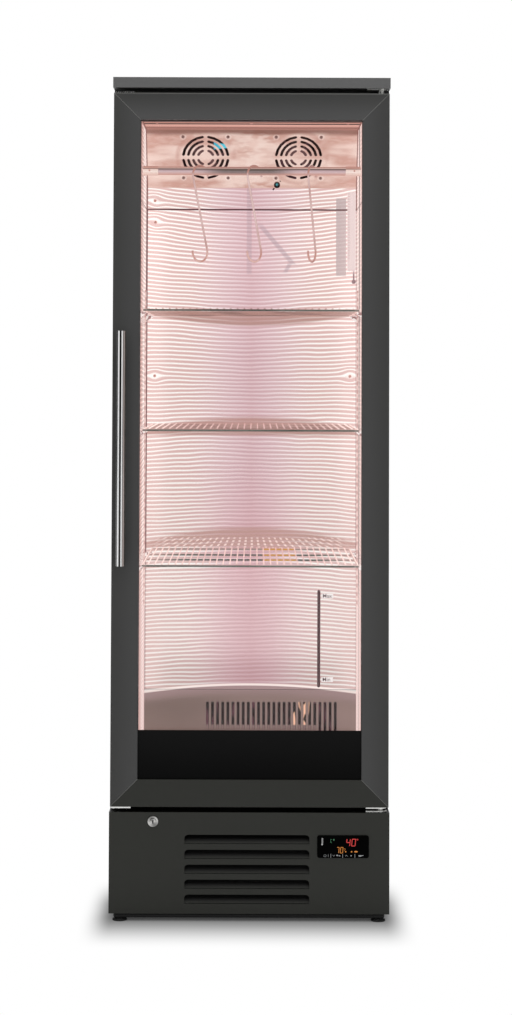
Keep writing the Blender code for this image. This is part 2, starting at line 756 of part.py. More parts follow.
def cam_slot_box(low_z, high_z):
    """The space that the turning cam sweeps through a sheet between two heights."""
    above = low_z - (BASE_TOP_Z - LOCK_DROP)
    reach = math.sqrt(cam_reach() ** 2 - above**2) + LOCK_CAM_WIDTH / 2
    y = cam_plane_y()
    low = (LOCK_X - LOCK_CAM_WIDTH / 2 - LOCK_SLOT_PLAY, y - LOCK_SLOT_PLAY, low_z - OVERRUN)
    high = (LOCK_X + reach, y + LOCK_CAM_SHEET + LOCK_SLOT_PLAY, high_z + OVERRUN)
    return low, high


def rear_grille():
    """Slotted cover over the back of the machine space, with the gland for the supply lead."""
    side = HALF_WIDTH - PAN_SHEET - CLEAR
    low = (-side, CARCASS_BACK_Y - PANEL_SHEET, PAN_FLOOR_Z + CLEAR)
    high = (side, CARCASS_BACK_Y, BASE_TOP_Z)
    grille = part("rear_grille", box_mesh("rear_grille", (low, high)), "galvanised")
    middle_z = (low[2] + high[2]) / 2
    slots = []
    for column in range(GRILLE_SLOT_COLUMNS):
        x = (column - (GRILLE_SLOT_COLUMNS - 1) / 2) * GRILLE_SLOT_SPACING
        for row in range(GRILLE_SLOT_ROWS):
            z = middle_z + (row - (GRILLE_SLOT_ROWS - 1) / 2) * GRILLE_SLOT_PITCH
            slots.append((
                (x - GRILLE_SLOT_LENGTH / 2, low[1] - OVERRUN, z - GRILLE_SLOT_HEIGHT / 2),
                (x + GRILLE_SLOT_LENGTH / 2, high[1] + OVERRUN, z + GRILLE_SLOT_HEIGHT / 2),
            ))
    cut(grille, tool("grille_slots", box_mesh("grille_slots", *slots)))
    x = side - GLAND_INSET / 2
    z = BASE_TOP_Z - GLAND_DROP
    collar = ((x, low[1] - GLAND_LENGTH, z), (x, high[1] - PANEL_SHEET / 2, z), GLAND_RADIUS)
    bore = ((x, low[1] - GLAND_LENGTH - OVERRUN, z), (x, high[1] + OVERRUN, z), GLAND_HOLE_RADIUS)
    weld(grille, tool("gland_collar", rod_mesh("gland_collar", collar)))
    cut(grille, tool("gland_bore", rod_mesh("gland_bore", bore)))


def controller():
    """Thermostat with a glossy face, whose body passes through a window in the kick panel."""
    z = BASE_TOP_Z - CONTROLLER_DROP
    half_width = CONTROLLER_WIDTH / 2
    half_height = CONTROLLER_HEIGHT / 2
    face = rounded_rectangle((-half_width, -half_height), (half_width, half_height), CONTROLLER_CORNER)
    thickness = CONTROLLER_PROUD - CLEAR
    mesh = plate_mesh("controller", [face], thickness)
    place = placed(CONTROLLER_X, FRONT_Y - CLEAR - thickness / 2, z, FACING_FRONT)
    obj = part("controller", mesh, "black_gloss", place)
    inner_x = half_width - CONTROLLER_RIM
    inner_z = half_height - CONTROLLER_RIM
    body = (
        (CONTROLLER_X - inner_x, FRONT_Y - CONTROLLER_PROUD / 2, z - inner_z),
        (CONTROLLER_X + inner_x, FRONT_Y + CONTROLLER_BODY_DEPTH, z + inner_z),
    )
    weld(obj, tool("controller_body", box_mesh("controller_body", body)))


def lock():
    """Cam lock: a fixed barrel with a rim, and a plug that turns the cam up into the door's lower rail."""
    z = BASE_TOP_Z - LOCK_DROP
    place = placed(LOCK_X, FRONT_Y, z, FACING_FRONT)
    bore = LOCK_PLUG_RADIUS + CLEAR
    profile = [
        (bore, LOCK_RIM_PROUD),
        (LOCK_RIM_RADIUS - CLEAR, LOCK_RIM_PROUD),
        (LOCK_RIM_RADIUS, LOCK_RIM_PROUD / 2),
        (LOCK_RIM_RADIUS, CLEAR),
        (LOCK_BARREL_RADIUS, CLEAR),
        (LOCK_BARREL_RADIUS, -LOCK_BARREL_LENGTH),
        (bore, -LOCK_BARREL_LENGTH),
    ]
    barrel = part("lock_barrel", turned("lock_barrel", profile, closed=True), "polished_steel", place)
    spin(barrel, ROUND_STEPS)
    inner = -LOCK_BARREL_LENGTH - CLEAR - LOCK_CAM_SHEET
    plug_rod = ((0, 0, LOCK_PLUG_PROUD), (0, 0, inner), LOCK_PLUG_RADIUS)
    plug = part("lock_plug", rod_mesh("lock_plug", plug_rod, sides=SMALL_STEPS), "polished_steel", place)
    half = LOCK_CAM_WIDTH / 2
    cam = ((-half, -half, inner), (cam_reach(), half, inner + LOCK_CAM_SHEET))
    weld(plug, tool("lock_cam", box_mesh("lock_cam", cam), place))
    slit = (
        (-KEYHOLE_WIDTH / 2, -KEYHOLE_LENGTH / 2, LOCK_PLUG_PROUD - KEYHOLE_DEPTH),
        (KEYHOLE_WIDTH / 2, KEYHOLE_LENGTH / 2, LOCK_PLUG_PROUD + OVERRUN),
    )
    cut(plug, tool("keyhole", box_mesh("keyhole", slit), place))


def finned_block(name, low, high, fins, depth, finish):
    """A block of cooling fins, with the gaps between them cut from the front."""
    block = part(name, box_mesh(name, (low, high)), finish)
    pitch = (high[0] - low[0]) / fins
    cuts = []
    for fin in range(fins):
        x = low[0] + pitch * (fin + 0.5)
        left, right = x - FIN_GAP / 2, x + FIN_GAP / 2
        foot, top = low[2] + FIN_GAP, high[2] - FIN_GAP
        cuts.append(((left, low[1] - OVERRUN, foot), (right, low[1] + depth, top)))
    cut(block, tool(name + "_gaps", box_mesh(name + "_gaps", *cuts)))


def condenser():
    y = PANEL_BACK_Y + CONDENSER_SETBACK
    low = (LOUVRE_OFFSET - CONDENSER_WIDTH / 2, y, PAN_FLOOR_Z + CLEAR)
    high = (LOUVRE_OFFSET + CONDENSER_WIDTH / 2, y + CONDENSER_DEPTH, low[2] + CONDENSER_HEIGHT)
    finned_block("condenser", low, high, CONDENSER_FINS, FIN_CUT, "black_paint")


def blade_mesh(name, hub_radius, tip_radius, hub_depth, chord):
    """One twisted fan blade along local X, wider and flatter towards its tip."""
    bm = bmesh.new()
    root = hub_radius - BLADE_SHEET
    add_box(bm, (root, -chord / 2, -BLADE_SHEET / 2), (tip_radius, chord / 2, BLADE_SHEET / 2))
    long_edges = [edge for edge in bm.edges if edge.verts[0].co.x != edge.verts[1].co.x]
    bmesh.ops.subdivide_edges(bm, edges=long_edges, cuts=BLADE_CUT_COUNT)
    for vertex in bm.verts:
        x, y, z = vertex.co
        along = (x - root) / (tip_radius - root)
        pitch = math.radians(BLADE_PITCH - BLADE_TWIST * along)
        y *= 1 + along * BLADE_FLARE_SHARE
        vertex.co = (
            x - along * abs(y) * hub_radius / tip_radius,
            y * math.cos(pitch) - z * math.sin(pitch),
            hub_depth / 2 + y * math.sin(pitch) + z * math.cos(pitch),
        )
    return mesh_from(bm, name)


def impeller(name, hub_radius, tip_radius, hub_depth, blades, place, finish):
    """A fan wheel: a hub with twisted blades, turning about the local Z axis."""
    wheel = part(name, rod_mesh(name, ((0, 0, 0), (0, 0, hub_depth), hub_radius)), finish, place)
    blade = blade_mesh(name + "_blade", hub_radius, tip_radius, hub_depth, math.tau * hub_radius / blades)
    turns = [Matrix.Rotation(math.tau * number / blades, 4, "Z") for number in range(blades)]
    ring = joined_mesh(name + "_blades", [(blade, turn) for turn in turns])
    weld(wheel, tool(name + "_blades", ring, place))


def fan_frame(name, half_width, half_height, depth, bore_radius, hub_radius, place, finish):
    """A fan frame with its bore, and the motor on four arms at its back (local -Z)."""
    low = (-half_width, -half_height, -depth)
    high = (half_width, half_height, 0)
    frame = part(name, box_mesh(name, (low, high)), finish, place)
    bore = ((0, 0, -depth - OVERRUN), (0, 0, OVERRUN), bore_radius)
    cut(frame, tool(name + "_bore", rod_mesh(name + "_bore", bore), place))
    motor = ((0, 0, -depth), (0, 0, -depth + FAN_STRUT_DEPTH), hub_radius)
    weld(frame, tool(name + "_motor", rod_mesh(name + "_motor", motor), place))
    bm = bmesh.new()
    for quarter in range(4):
        start = hub_radius - FAN_STRUT_WIDTH
        arm = add_box(
            bm,
            (start, -FAN_STRUT_WIDTH / 2, -depth + CLEAR),
            (bore_radius + FAN_STRUT_WIDTH / 4, FAN_STRUT_WIDTH / 2, -depth + FAN_STRUT_DEPTH - CLEAR),
        )
        turn = Matrix.Rotation(math.tau * (quarter + 0.5) / 4, 4, "Z")
        bmesh.ops.transform(bm, matrix=turn, verts=arm)
    weld(frame, tool(name + "_arms", mesh_from(bm, name + "_arms"), place))


def condenser_fan():
    """Fan that draws air through the louvres and the condenser."""
    y = PANEL_BACK_Y + CONDENSER_SETBACK + CONDENSER_DEPTH + CLEAR
    half_height = CONDENSER_HEIGHT / 2
    z = PAN_FLOOR_Z + CLEAR + half_height
    place = placed(LOUVRE_OFFSET, y, z, FACING_FRONT)
    bore = BIG_FAN_RADIUS + BLADE_TIP_CLEARANCE
    fan_frame("condenser_fan_shroud", CONDENSER_WIDTH / 2, half_height, BIG_FAN_DEPTH, bore,
              BIG_HUB_RADIUS, place, "black_plastic")
    seat = -BIG_FAN_DEPTH + FAN_STRUT_DEPTH + CLEAR
    impeller("condenser_impeller", BIG_HUB_RADIUS, BIG_FAN_RADIUS, -seat - OVERRUN, BIG_FAN_BLADES,
             place @ Matrix.Translation((0, 0, seat)), "aluminium")


def compressor():
    """Sealed motor compressor: a welded steel pot on a base plate with four rubber grommets."""
    y = CARCASS_BACK_Y - COMPRESSOR_SETBACK
    foot_z = PAN_FLOOR_Z + CLEAR
    plate_z = foot_z + GROMMET_HEIGHT
    top = COMPRESSOR_PLATE + COMPRESSOR_HEIGHT
    dome_centre = (COMPRESSOR_RADIUS - COMPRESSOR_SHOULDER, top - COMPRESSOR_SHOULDER)
    dome = arc(dome_centre, COMPRESSOR_SHOULDER, 90, 0, CORNER_STEPS)
    seam = COMPRESSOR_PLATE + COMPRESSOR_HEIGHT / 2
    lip = COMPRESSOR_RADIUS + COMPRESSOR_PLATE
    profile = [
        (0, top),
        *dome,
        (COMPRESSOR_RADIUS, seam + COMPRESSOR_PLATE),
        (lip, seam + COMPRESSOR_PLATE),
        (lip, seam - COMPRESSOR_PLATE),
        (COMPRESSOR_RADIUS, seam - COMPRESSOR_PLATE),
        (COMPRESSOR_RADIUS, COMPRESSOR_SHOULDER),
        (COMPRESSOR_RADIUS - COMPRESSOR_SHOULDER / 4, COMPRESSOR_PLATE / 2),
        (0, COMPRESSOR_PLATE / 2),
    ]
    place = placed(COMPRESSOR_X, y, plate_z)
    pot = part("compressor", turned("compressor", profile), "black_paint", place)
    spin(pot, ROUND_STEPS)
    half_x = COMPRESSOR_PLATE_WIDTH / 2
    half_y = COMPRESSOR_PLATE_DEPTH / 2
    plate = ((-half_x, -half_y, 0), (half_x, half_y, COMPRESSOR_PLATE))
    weld(pot, tool("compressor_plate", box_mesh("compressor_plate", plate), place))
    grommets = []
    for side_x in (-1, 1):
        for side_y in (-1, 1):
            x = side_x * (half_x - GROMMET_INSET)
            y = side_y * (half_y - GROMMET_INSET)
            grommets.append(((x, y, -GROMMET_HEIGHT), (x, y, COMPRESSOR_PLATE + OVERRUN), GROMMET_RADIUS))
    weld(pot, tool("grommets", rod_mesh("grommets", *grommets, sides=SMALL_STEPS), place))


def evaporation_tray():
    y = CARCASS_BACK_Y - TRAY_SETBACK
    z = PAN_FLOOR_Z + CLEAR
    right = COMPRESSOR_X - COMPRESSOR_PLATE_WIDTH / 2 - TRAY_COMPRESSOR_GAP
    low = (TRAY_SIDE_GAP - HALF_WIDTH, y - TRAY_DEPTH / 2, z)
    high = (right, y + TRAY_DEPTH / 2, z + TRAY_HEIGHT)
    folded_sheet("evaporation_tray", low, high, [UP], TRAY_WALL, "black_plastic")


def groove_depth():
    """Width of the groove that holds the two panes and the spacer, with a gap at each face."""
    return 2 * GLASS + SPACER_DEPTH + 4 * CLEAR


def door_rail(name, length, place):
    """A hollow door profile, cut at 45 degrees at both ends. Local X runs along it, local Y inwards."""
    groove_back = FRAME_LIP + groove_depth()
    outline = [
        (0, 0),
        (FRAME_WIDTH, 0),
        (FRAME_WIDTH, FRAME_LIP),
        (FRAME_WIDTH - GLASS_BITE, FRAME_LIP),
        (FRAME_WIDTH - GLASS_BITE, groove_back),
        (FRAME_WIDTH, groove_back),
        (FRAME_WIDTH, DOOR_DEPTH - FRAME_CHAMFER),
        (FRAME_WIDTH - FRAME_CHAMFER, DOOR_DEPTH),
        (0, DOOR_DEPTH),
    ]
    chamber_end = (FRAME_WIDTH - GLASS_BITE - FRAME_WALL, DOOR_DEPTH - FRAME_WALL)
    chamber = rectangle((FRAME_WALL, FRAME_WALL), chamber_end)
    mesh = plate_mesh(name, [outline, chamber], length)
    for vertex in mesh.vertices:
        inwards, depth, along = vertex.co
        mitred = math.copysign(length / 2 - inwards - CLEAR / 2, along)
        vertex.co = (mitred, inwards, -depth)
    mesh.flip_normals()
    return part(name, mesh, "charcoal_paint", place)


def door_frame():
    """Four mitred profiles round the glass."""
    middle_z = (DOOR_BOTTOM_Z + DOOR_TOP_Z) / 2
    width = 2 * DOOR_HALF_WIDTH

    def quarter(turns):
        return FACING_FRONT @ Matrix.Rotation(math.radians(90) * turns, 4, "Z")

    bottom = door_rail("door_frame_bottom", width, placed(0, FRONT_Y, DOOR_BOTTOM_Z, quarter(0)))
    right_place = placed(DOOR_HALF_WIDTH, FRONT_Y, middle_z, quarter(1))
    left_place = placed(-DOOR_HALF_WIDTH, FRONT_Y, middle_z, quarter(3))
    right = door_rail("door_frame_right", DOOR_HEIGHT, right_place)
    top = door_rail("door_frame_top", width, placed(0, FRONT_Y, DOOR_TOP_Z, quarter(2)))
    left = door_rail("door_frame_left", DOOR_HEIGHT, left_place)
    pin = hinge_axis()
    hole = HINGE_PIN_RADIUS + CLEAR
    for rail, edge, inner in (
        (bottom, DOOR_BOTTOM_Z - OVERRUN, DOOR_BOTTOM_Z + HINGE_PIN_BITE + OVERRUN),
        (top, DOOR_TOP_Z - HINGE_PIN_BITE - OVERRUN, DOOR_TOP_Z + OVERRUN),
    ):
        rod = ((pin.x, pin.y, edge), (pin.x, pin.y, inner), hole)
        name = rail.name + "_pin_hole"
        cut(rail, tool(name, rod_mesh(name, rod, sides=SMALL_STEPS)))
    low, high = cam_slot_box(DOOR_BOTTOM_Z, DOOR_BOTTOM_Z + LOCK_CAM_BITE)
    cut(bottom, tool("keeper_slot", box_mesh("keeper_slot", (low, high))))
    return [bottom, right, top, left]


def hinge_axis():
    return Vector((DOOR_HALF_WIDTH - HINGE_INSET, FRONT_Y + HINGE_SETBACK, 0))


def glazing():
    """Sealed unit: two panes held apart by a spacer frame, all inside the groove of the door profiles."""
    inset = FRAME_WIDTH - GLASS_BITE + CLEAR
    low = (-DOOR_HALF_WIDTH + inset, DOOR_BOTTOM_Z + inset)
    high = (DOOR_HALF_WIDTH - inset, DOOR_TOP_Z - inset)
    y = FRONT_Y + FRAME_LIP + CLEAR
    pieces = []
    for name in ("outer_glass", "inner_glass"):
        pane = ((low[0], y, low[1]), (high[0], y + GLASS, high[1]))
        pieces.append(part(name, box_mesh(name, pane), "clear_glass"))
        y += GLASS + SPACER_DEPTH + 2 * CLEAR
    inner_low = (low[0] + SPACER_WIDTH, low[1] + SPACER_WIDTH)
    inner_high = (high[0] - SPACER_WIDTH, high[1] - SPACER_WIDTH)
    ring = [rectangle(low, high), rectangle(inner_low, inner_high)]
    mesh = plate_mesh("glass_spacer", ring, SPACER_DEPTH)
    y = FRONT_Y + FRAME_LIP + GLASS + 2 * CLEAR + SPACER_DEPTH / 2
    pieces.append(part("glass_spacer", mesh, "black_plastic", placed(0, y, 0, FACING_FRONT)))
    return pieces


def door_gasket():
    """Magnetic bellows seal round the opening, between the door's back and the flange of the casing."""
    inner_low = (-INNER_X - GASKET_OFFSET, FLOOR_Z - GASKET_OFFSET)
    inner_high = (INNER_X + GASKET_OFFSET, CEILING_Z + GASKET_OFFSET)
    low = (inner_low[0] - GASKET_WIDTH, inner_low[1] - GASKET_WIDTH)
    high = (inner_high[0] + GASKET_WIDTH, inner_high[1] + GASKET_WIDTH)
    thickness = DOOR_BACK_GAP - 2 * CLEAR
    mesh = plate_mesh("door_gasket", [rectangle(low, high), rectangle(inner_low, inner_high)], thickness)
    place = placed(0, DOOR_BACK_Y + DOOR_BACK_GAP / 2, 0, FACING_FRONT)
    return part("door_gasket", mesh, "black_rubber", place)


def handle():
    """Round bar handle on two posts, which stand on the left profile."""
    x = -DOOR_HALF_WIDTH + HANDLE_INSET
    y = FRONT_Y - HANDLE_REACH + HANDLE_RADIUS
    low_z = DOOR_BOTTOM_Z + HANDLE_BOTTOM
    high_z = low_z + HANDLE_LENGTH
    place = placed(x, y, low_z)
    profile = [
        (0, HANDLE_LENGTH),
        (HANDLE_RADIUS - HANDLE_END_CHAMFER, HANDLE_LENGTH),
        (HANDLE_RADIUS, HANDLE_LENGTH - HANDLE_END_CHAMFER),
        (HANDLE_RADIUS, HANDLE_END_CHAMFER),
        (HANDLE_RADIUS - HANDLE_END_CHAMFER, 0),
        (0, 0),
    ]
    bar = part("handle_bar", turned("handle_bar", profile), "polished_steel", place)
    spin(bar, ROUND_STEPS)
    posts = []
    for z in (low_z + HANDLE_POST_INSET, high_z - HANDLE_POST_INSET):
        posts.append(((x, y, z), (x, FRONT_Y - CLEAR, z), HANDLE_POST_RADIUS))
    weld(bar, tool("handle_posts", rod_mesh("handle_posts", *posts, sides=SMALL_STEPS)))
    return bar


def hinge_bracket(name, plate_z, pin_low, pin_high, collar_low, collar_high):
    """A fixed hinge plate with its riveted pin and the collar that the door turns against."""
    pin = hinge_axis()
    nose = arc((pin.x, pin.y), HINGE_HALF_WIDTH, 0, -90, CORNER_STEPS)
    outline = [
        *nose,
        (pin.x - HINGE_ARM, pin.y - HINGE_HALF_WIDTH),
        (pin.x - HINGE_ARM, pin.y + HINGE_TAIL),
        (pin.x + HINGE_HALF_WIDTH, pin.y + HINGE_TAIL),
    ]
    mesh = plate_mesh(name, [outline], HINGE_PLATE)
    plate = part(name, mesh, "zinc", placed(0, 0, plate_z + HINGE_PLATE / 2))
    collar = ((pin.x, pin.y, collar_low), (pin.x, pin.y, collar_high), HINGE_COLLAR_RADIUS)
    shaft = ((pin.x, pin.y, pin_low), (pin.x, pin.y, pin_high), HINGE_PIN_RADIUS)
    weld(plate, tool(name + "_collar", rod_mesh(name + "_collar", collar, sides=SMALL_STEPS)))
    weld(plate, tool(name + "_pin", rod_mesh(name + "_pin", shaft, sides=SMALL_STEPS)))


def hinges():
    sunk = HINGE_PLATE / 2
    low_plate = BASE_TOP_Z + CLEAR
    door_plate = DOOR_BOTTOM_Z - CLEAR - HINGE_PLATE
    hinge_bracket("hinge_bracket_bottom", low_plate, low_plate + sunk, DOOR_BOTTOM_Z + HINGE_PIN_BITE,
                  low_plate + sunk, door_plate - CLEAR)
    top_plate = LID_BOTTOM_Z - CLEAR - HINGE_PLATE
    hinge_bracket("hinge_bracket_top", top_plate, DOOR_TOP_Z - HINGE_PIN_BITE, top_plate + sunk,
                  DOOR_TOP_Z + CLEAR, top_plate + sunk)


def corner_plates():
    """Steel plates on the door's corners. The hinge is reversible, so the left corners have them too."""
    outer = -DOOR_HALF_WIDTH + CORNER_PLATE_INSET
    y = FRONT_Y + CORNER_PLATE_INSET
    top_z = DOOR_TOP_Z + CLEAR
    low_z = DOOR_BOTTOM_Z - CLEAR - HINGE_PLATE
    plates = []
    for name, z in (("corner_plate_top", top_z), ("corner_plate_bottom", low_z)):
        low = (outer, y, z)
        high = (outer + CORNER_PLATE_LENGTH, y + CORNER_PLATE_DEPTH, z + HINGE_PLATE)
        plates.append(part(name, box_mesh(name, (low, high)), "zinc"))
    stops = []
    for share in STOP_SHARES:
        x = outer + CORNER_PLATE_LENGTH * share
        centre = (x, y + CORNER_PLATE_DEPTH / 2)
        stops.append(((*centre, low_z - STOP_LENGTH), (*centre, low_z + HINGE_PLATE / 2), STOP_RADIUS))
    weld(plates[-1], tool("door_stops", rod_mesh("door_stops", *stops, sides=SMALL_STEPS)))
    pin = hinge_axis()
    nose = arc((pin.x, pin.y), HINGE_HALF_WIDTH, 90, -90, 2 * CORNER_STEPS)
    outline = [
        *nose,
        (pin.x - HINGE_ARM, pin.y - HINGE_HALF_WIDTH),
        (pin.x - HINGE_ARM, pin.y + HINGE_HALF_WIDTH),
    ]
    hole = arc((pin.x, pin.y), HINGE_PIN_RADIUS + CLEAR, 0, 360 * (1 - 1 / SMALL_STEPS), SMALL_STEPS - 1)
    mesh = plate_mesh("door_hinge_plate", [outline, hole], HINGE_PLATE)
    plates.append(part("door_hinge_plate", mesh, "zinc", placed(0, 0, low_z + HINGE_PLATE / 2)))
    return plates


def back_panel():
    """Polished panel in front of the air duct, with the round-ended slot that shows the water level."""
    low = (-FITTING_X, BACK_PANEL_Y, FLOOR_Z + GRILLE_TOP + CLEAR)
    high = (FITTING_X, LINER_BACK_Y - CLEAR, SEAM_Z - CLEAR)
    panel = folded_sheet("back_panel", low, high, [BACK, UP, DOWN], PANEL_GAUGE, "copper_steel")
    half = LEVEL_WIDTH / 2
    foot = FLOOR_Z + LEVEL_BOTTOM
    outline = rounded_rectangle((LEVEL_X - half, foot), (LEVEL_X + half, foot + LEVEL_LENGTH), half)
    slot = plate_mesh("level_slot", [outline], 2 * OVERRUN)
    cut(panel, tool("level_slot", slot, placed(0, BACK_PANEL_Y, 0, FACING_FRONT)))


def intake_grille():
    """Air intake below the lowest shelf, standing proud of the back panel."""
    low = (-FITTING_X, BACK_PANEL_Y - GRILLE_PROUD, FLOOR_Z + CLEAR)
    high = (FITTING_X, LINER_BACK_Y - CLEAR, FLOOR_Z + GRILLE_TOP)
    grille = folded_sheet("intake_grille", low, high, [BACK, DOWN], PANEL_GAUGE, "brushed_steel")
    half = INTAKE_SLOT_WIDTH / 2
    outlines = []
    for number in range(INTAKE_SLOTS):
        x = INTAKE_OFFSET + (number - (INTAKE_SLOTS - 1) / 2) * INTAKE_SLOT_PITCH
        outlines.append((
            (x - half, low[1] - OVERRUN, FLOOR_Z + INTAKE_SLOT_BOTTOM),
            (x + half, low[1] + OVERRUN, FLOOR_Z + INTAKE_SLOT_TOP),
        ))
    cut(grille, tool("intake_slots", box_mesh("intake_slots", *outlines)))


def water_tank():
    """Open tank of the humidity system, standing on the intake grille behind the level slot."""
    low = (LEVEL_X - TANK_WIDTH / 2, BACK_PANEL_Y + PANEL_GAUGE + CLEAR, FLOOR_Z + GRILLE_TOP + CLEAR)
    high = (LEVEL_X + TANK_WIDTH / 2, LINER_BACK_Y - CLEAR, low[2] + TANK_HEIGHT)
    folded_sheet("water_tank", low, high, [UP], TANK_WALL, "white_plastic")


def cover_profile():
    """Front face of the evaporator cover, from its foot to the front edge of its flange, as (y, z)."""
    slope = math.tan(math.radians(COVER_SLANT))
    flange_z = CEILING_Z - CLEAR - PANEL_GAUGE
    bend_z = SEAM_Z + COVER_APRON
    flange_y = BACK_PANEL_Y - (flange_z - bend_z) * slope
    edge_y = flange_y - COVER_FLANGE
    return [(BACK_PANEL_Y, SEAM_Z), (BACK_PANEL_Y, bend_z), (flange_y, flange_z), (edge_y, flange_z)]


def fan_places():
    """Centre of each evaporator fan on the slanted face. Local Z leaves the face, local Y climbs it."""
    _, bend, _, _ = cover_profile()
    z = CEILING_Z - FAN_DROP
    y = bend[0] - (z - bend[1]) * math.tan(math.radians(COVER_SLANT))
    turn = Matrix.Rotation(math.radians(90 + COVER_SLANT), 4, "X")
    return {name: placed(side * FAN_SPACING / 2, y, z, turn) for name, side in (("left", -1), ("right", 1))}


def arc_slot(radius, width, start, end):
    """Outline of a curved slot with round ends, centred on an arc."""
    half = width / 2
    caps = []
    for angle, turn in ((end, 0), (start, 180)):
        centre = (radius * math.cos(math.radians(angle)), radius * math.sin(math.radians(angle)))
        caps.append(arc(centre, half, angle + turn, angle + turn + 180, CORNER_STEPS))
    steps = max(2, round((end - start) / GUARD_STEP))
    outer = arc((0, 0), radius + half, start, end, steps)
    inner = arc((0, 0), radius - half, end, start, steps)
    return outer[:-1] + caps[0] + inner[1:-1] + caps[1][:-1]


def evaporator_cover():
    """Bent sheet over the evaporator, with a slotted guard in front of each fan."""
    foot, bend, crest, edge = cover_profile()
    half_bend = math.tan(math.radians(COVER_SLANT / 2))
    half_crest = math.tan(math.radians((90 - COVER_SLANT) / 2))
    outline = [
        foot,
        (foot[0] + PANEL_GAUGE, foot[1]),
        (bend[0] + PANEL_GAUGE, bend[1] + PANEL_GAUGE * half_bend),
        (crest[0] + PANEL_GAUGE * half_crest, crest[1] + PANEL_GAUGE),
        (edge[0], edge[1] + PANEL_GAUGE),
        edge,
        crest,
        bend,
    ]
    mesh = plate_mesh("evaporator_cover", [outline], 2 * FITTING_X)
    cover = part("evaporator_cover", mesh, "copper_steel", placed(0, 0, 0, FACING_RIGHT))
    slots = []
    for ring in range(GUARD_RINGS):
        radius = GUARD_OUTER_RADIUS - ring * GUARD_RING_PITCH
        margin = math.degrees(math.asin((GUARD_RIB + GUARD_SLOT_WIDTH) / 2 / radius))
        for quarter in range(4):
            start = 90 * quarter
            slots.append(arc_slot(radius, GUARD_SLOT_WIDTH, start + margin, start + 90 - margin))
    guard = plate_mesh("fan_guard", slots, 2 * (PANEL_GAUGE + OVERRUN))
    for name, place in fan_places().items():
        cut(cover, tool("guard_" + name, guard.copy(), place))


def evaporator_fans():
    """Two axial fans behind the guards. Each wheel turns about the axis of its guard."""
    rear = PANEL_GAUGE + CLEAR
    seat = FAN_STRUT_DEPTH + CLEAR - rear - FAN_DEPTH
    tip = FAN_BORE_RADIUS - BLADE_TIP_CLEARANCE
    for name, place in fan_places().items():
        face = place @ Matrix.Translation((0, 0, -rear))
        fan_frame("fan_frame_" + name, FAN_SIZE / 2, FAN_SIZE / 2, FAN_DEPTH, FAN_BORE_RADIUS,
                  FAN_HUB_RADIUS, face, "black_plastic")
        impeller("impeller_" + name, FAN_HUB_RADIUS, tip, -rear - OVERRUN - seat, FAN_BLADES,
                 place @ Matrix.Translation((0, 0, seat)), "black_plastic")


def evaporator_coil():
    low = (-COIL_WIDTH / 2, LINER_BACK_Y - CLEAR - COIL_DEPTH, CEILING_Z - COIL_DROP - COIL_HEIGHT)
    high = (COIL_WIDTH / 2, LINER_BACK_Y - CLEAR, CEILING_Z - COIL_DROP)
    finned_block("evaporator_coil", low, high, COIL_FINS, FIN_CUT, "aluminium")


def temperature_probe():
    """Ring with a sunk sensor, on the slanted face just above its lower bend."""
    _, bend, _, _ = cover_profile()
    slant = math.radians(COVER_SLANT)
    y = bend[0] - PROBE_RISE * math.sin(slant)
    z = bend[1] + PROBE_RISE * math.cos(slant)
    turn = Matrix.Rotation(math.radians(90) + slant, 4, "X")
    profile = [
        (0, PROBE_LENGTH / 2),
        (PROBE_BORE_RADIUS, PROBE_LENGTH / 2),
        (PROBE_BORE_RADIUS, PROBE_LENGTH),
        (PROBE_RADIUS - CLEAR, PROBE_LENGTH),
        (PROBE_RADIUS, PROBE_LENGTH - CLEAR),
        (PROBE_RADIUS, CLEAR),
        (0, CLEAR),
    ]
    place = placed(PROBE_X, y, z, turn)
    probe = part("temperature_probe", turned("temperature_probe", profile), "white_plastic", place)
    spin(probe, ROUND_STEPS)


def uv_lamp_housing():
    """Lamp that keeps the air clean, at the right edge of the back panel, with its short lead and gland."""
    right = INNER_X - STERILISER_WALL_GAP
    left = right - STERILISER_WIDTH
    back = BACK_PANEL_Y - CLEAR
    top = SEAM_Z + STERILISER_RISE
    low = (left, back - STERILISER_DEPTH, top - STERILISER_HEIGHT)
    block = box_mesh("uv_lamp_housing", (low, (right, back, top)))
    housing = part("uv_lamp_housing", block, "white_plastic")
    bevel(housing, STERILISER_BEVEL)
    middle = (left + right) / 2
    vents = []
    pitch = STERILISER_HEIGHT / (STERILISER_VENTS + 1)
    for number in range(STERILISER_VENTS):
        z = low[2] + (number + 1) * pitch
        vents.append((
            (middle - STERILISER_VENT_WIDTH / 2, low[1] - OVERRUN, z - STERILISER_VENT_HEIGHT / 2),
            (middle + STERILISER_VENT_WIDTH / 2, low[1] + OVERRUN, z + STERILISER_VENT_HEIGHT / 2),
        ))
    cut(housing, tool("lamp_vents", box_mesh("lamp_vents", *vents)))
    lead_y = back - GLAND_SMALL_RADIUS
    lead_x = right - LEAD_INSET
    gland_z = low[2] - LEAD_DROP
    lead = ((lead_x, lead_y, low[2] + OVERRUN), (lead_x, lead_y, gland_z), LEAD_RADIUS)
    gland = ((lead_x, back, gland_z), (lead_x, back - GLAND_SMALL_LENGTH, gland_z), GLAND_SMALL_RADIUS)
    weld(housing, tool("lamp_gland", rod_mesh("lamp_gland", gland, sides=SMALL_STEPS)))
    weld(housing, tool("lamp_lead", rod_mesh("lamp_lead", lead, sides=8)))


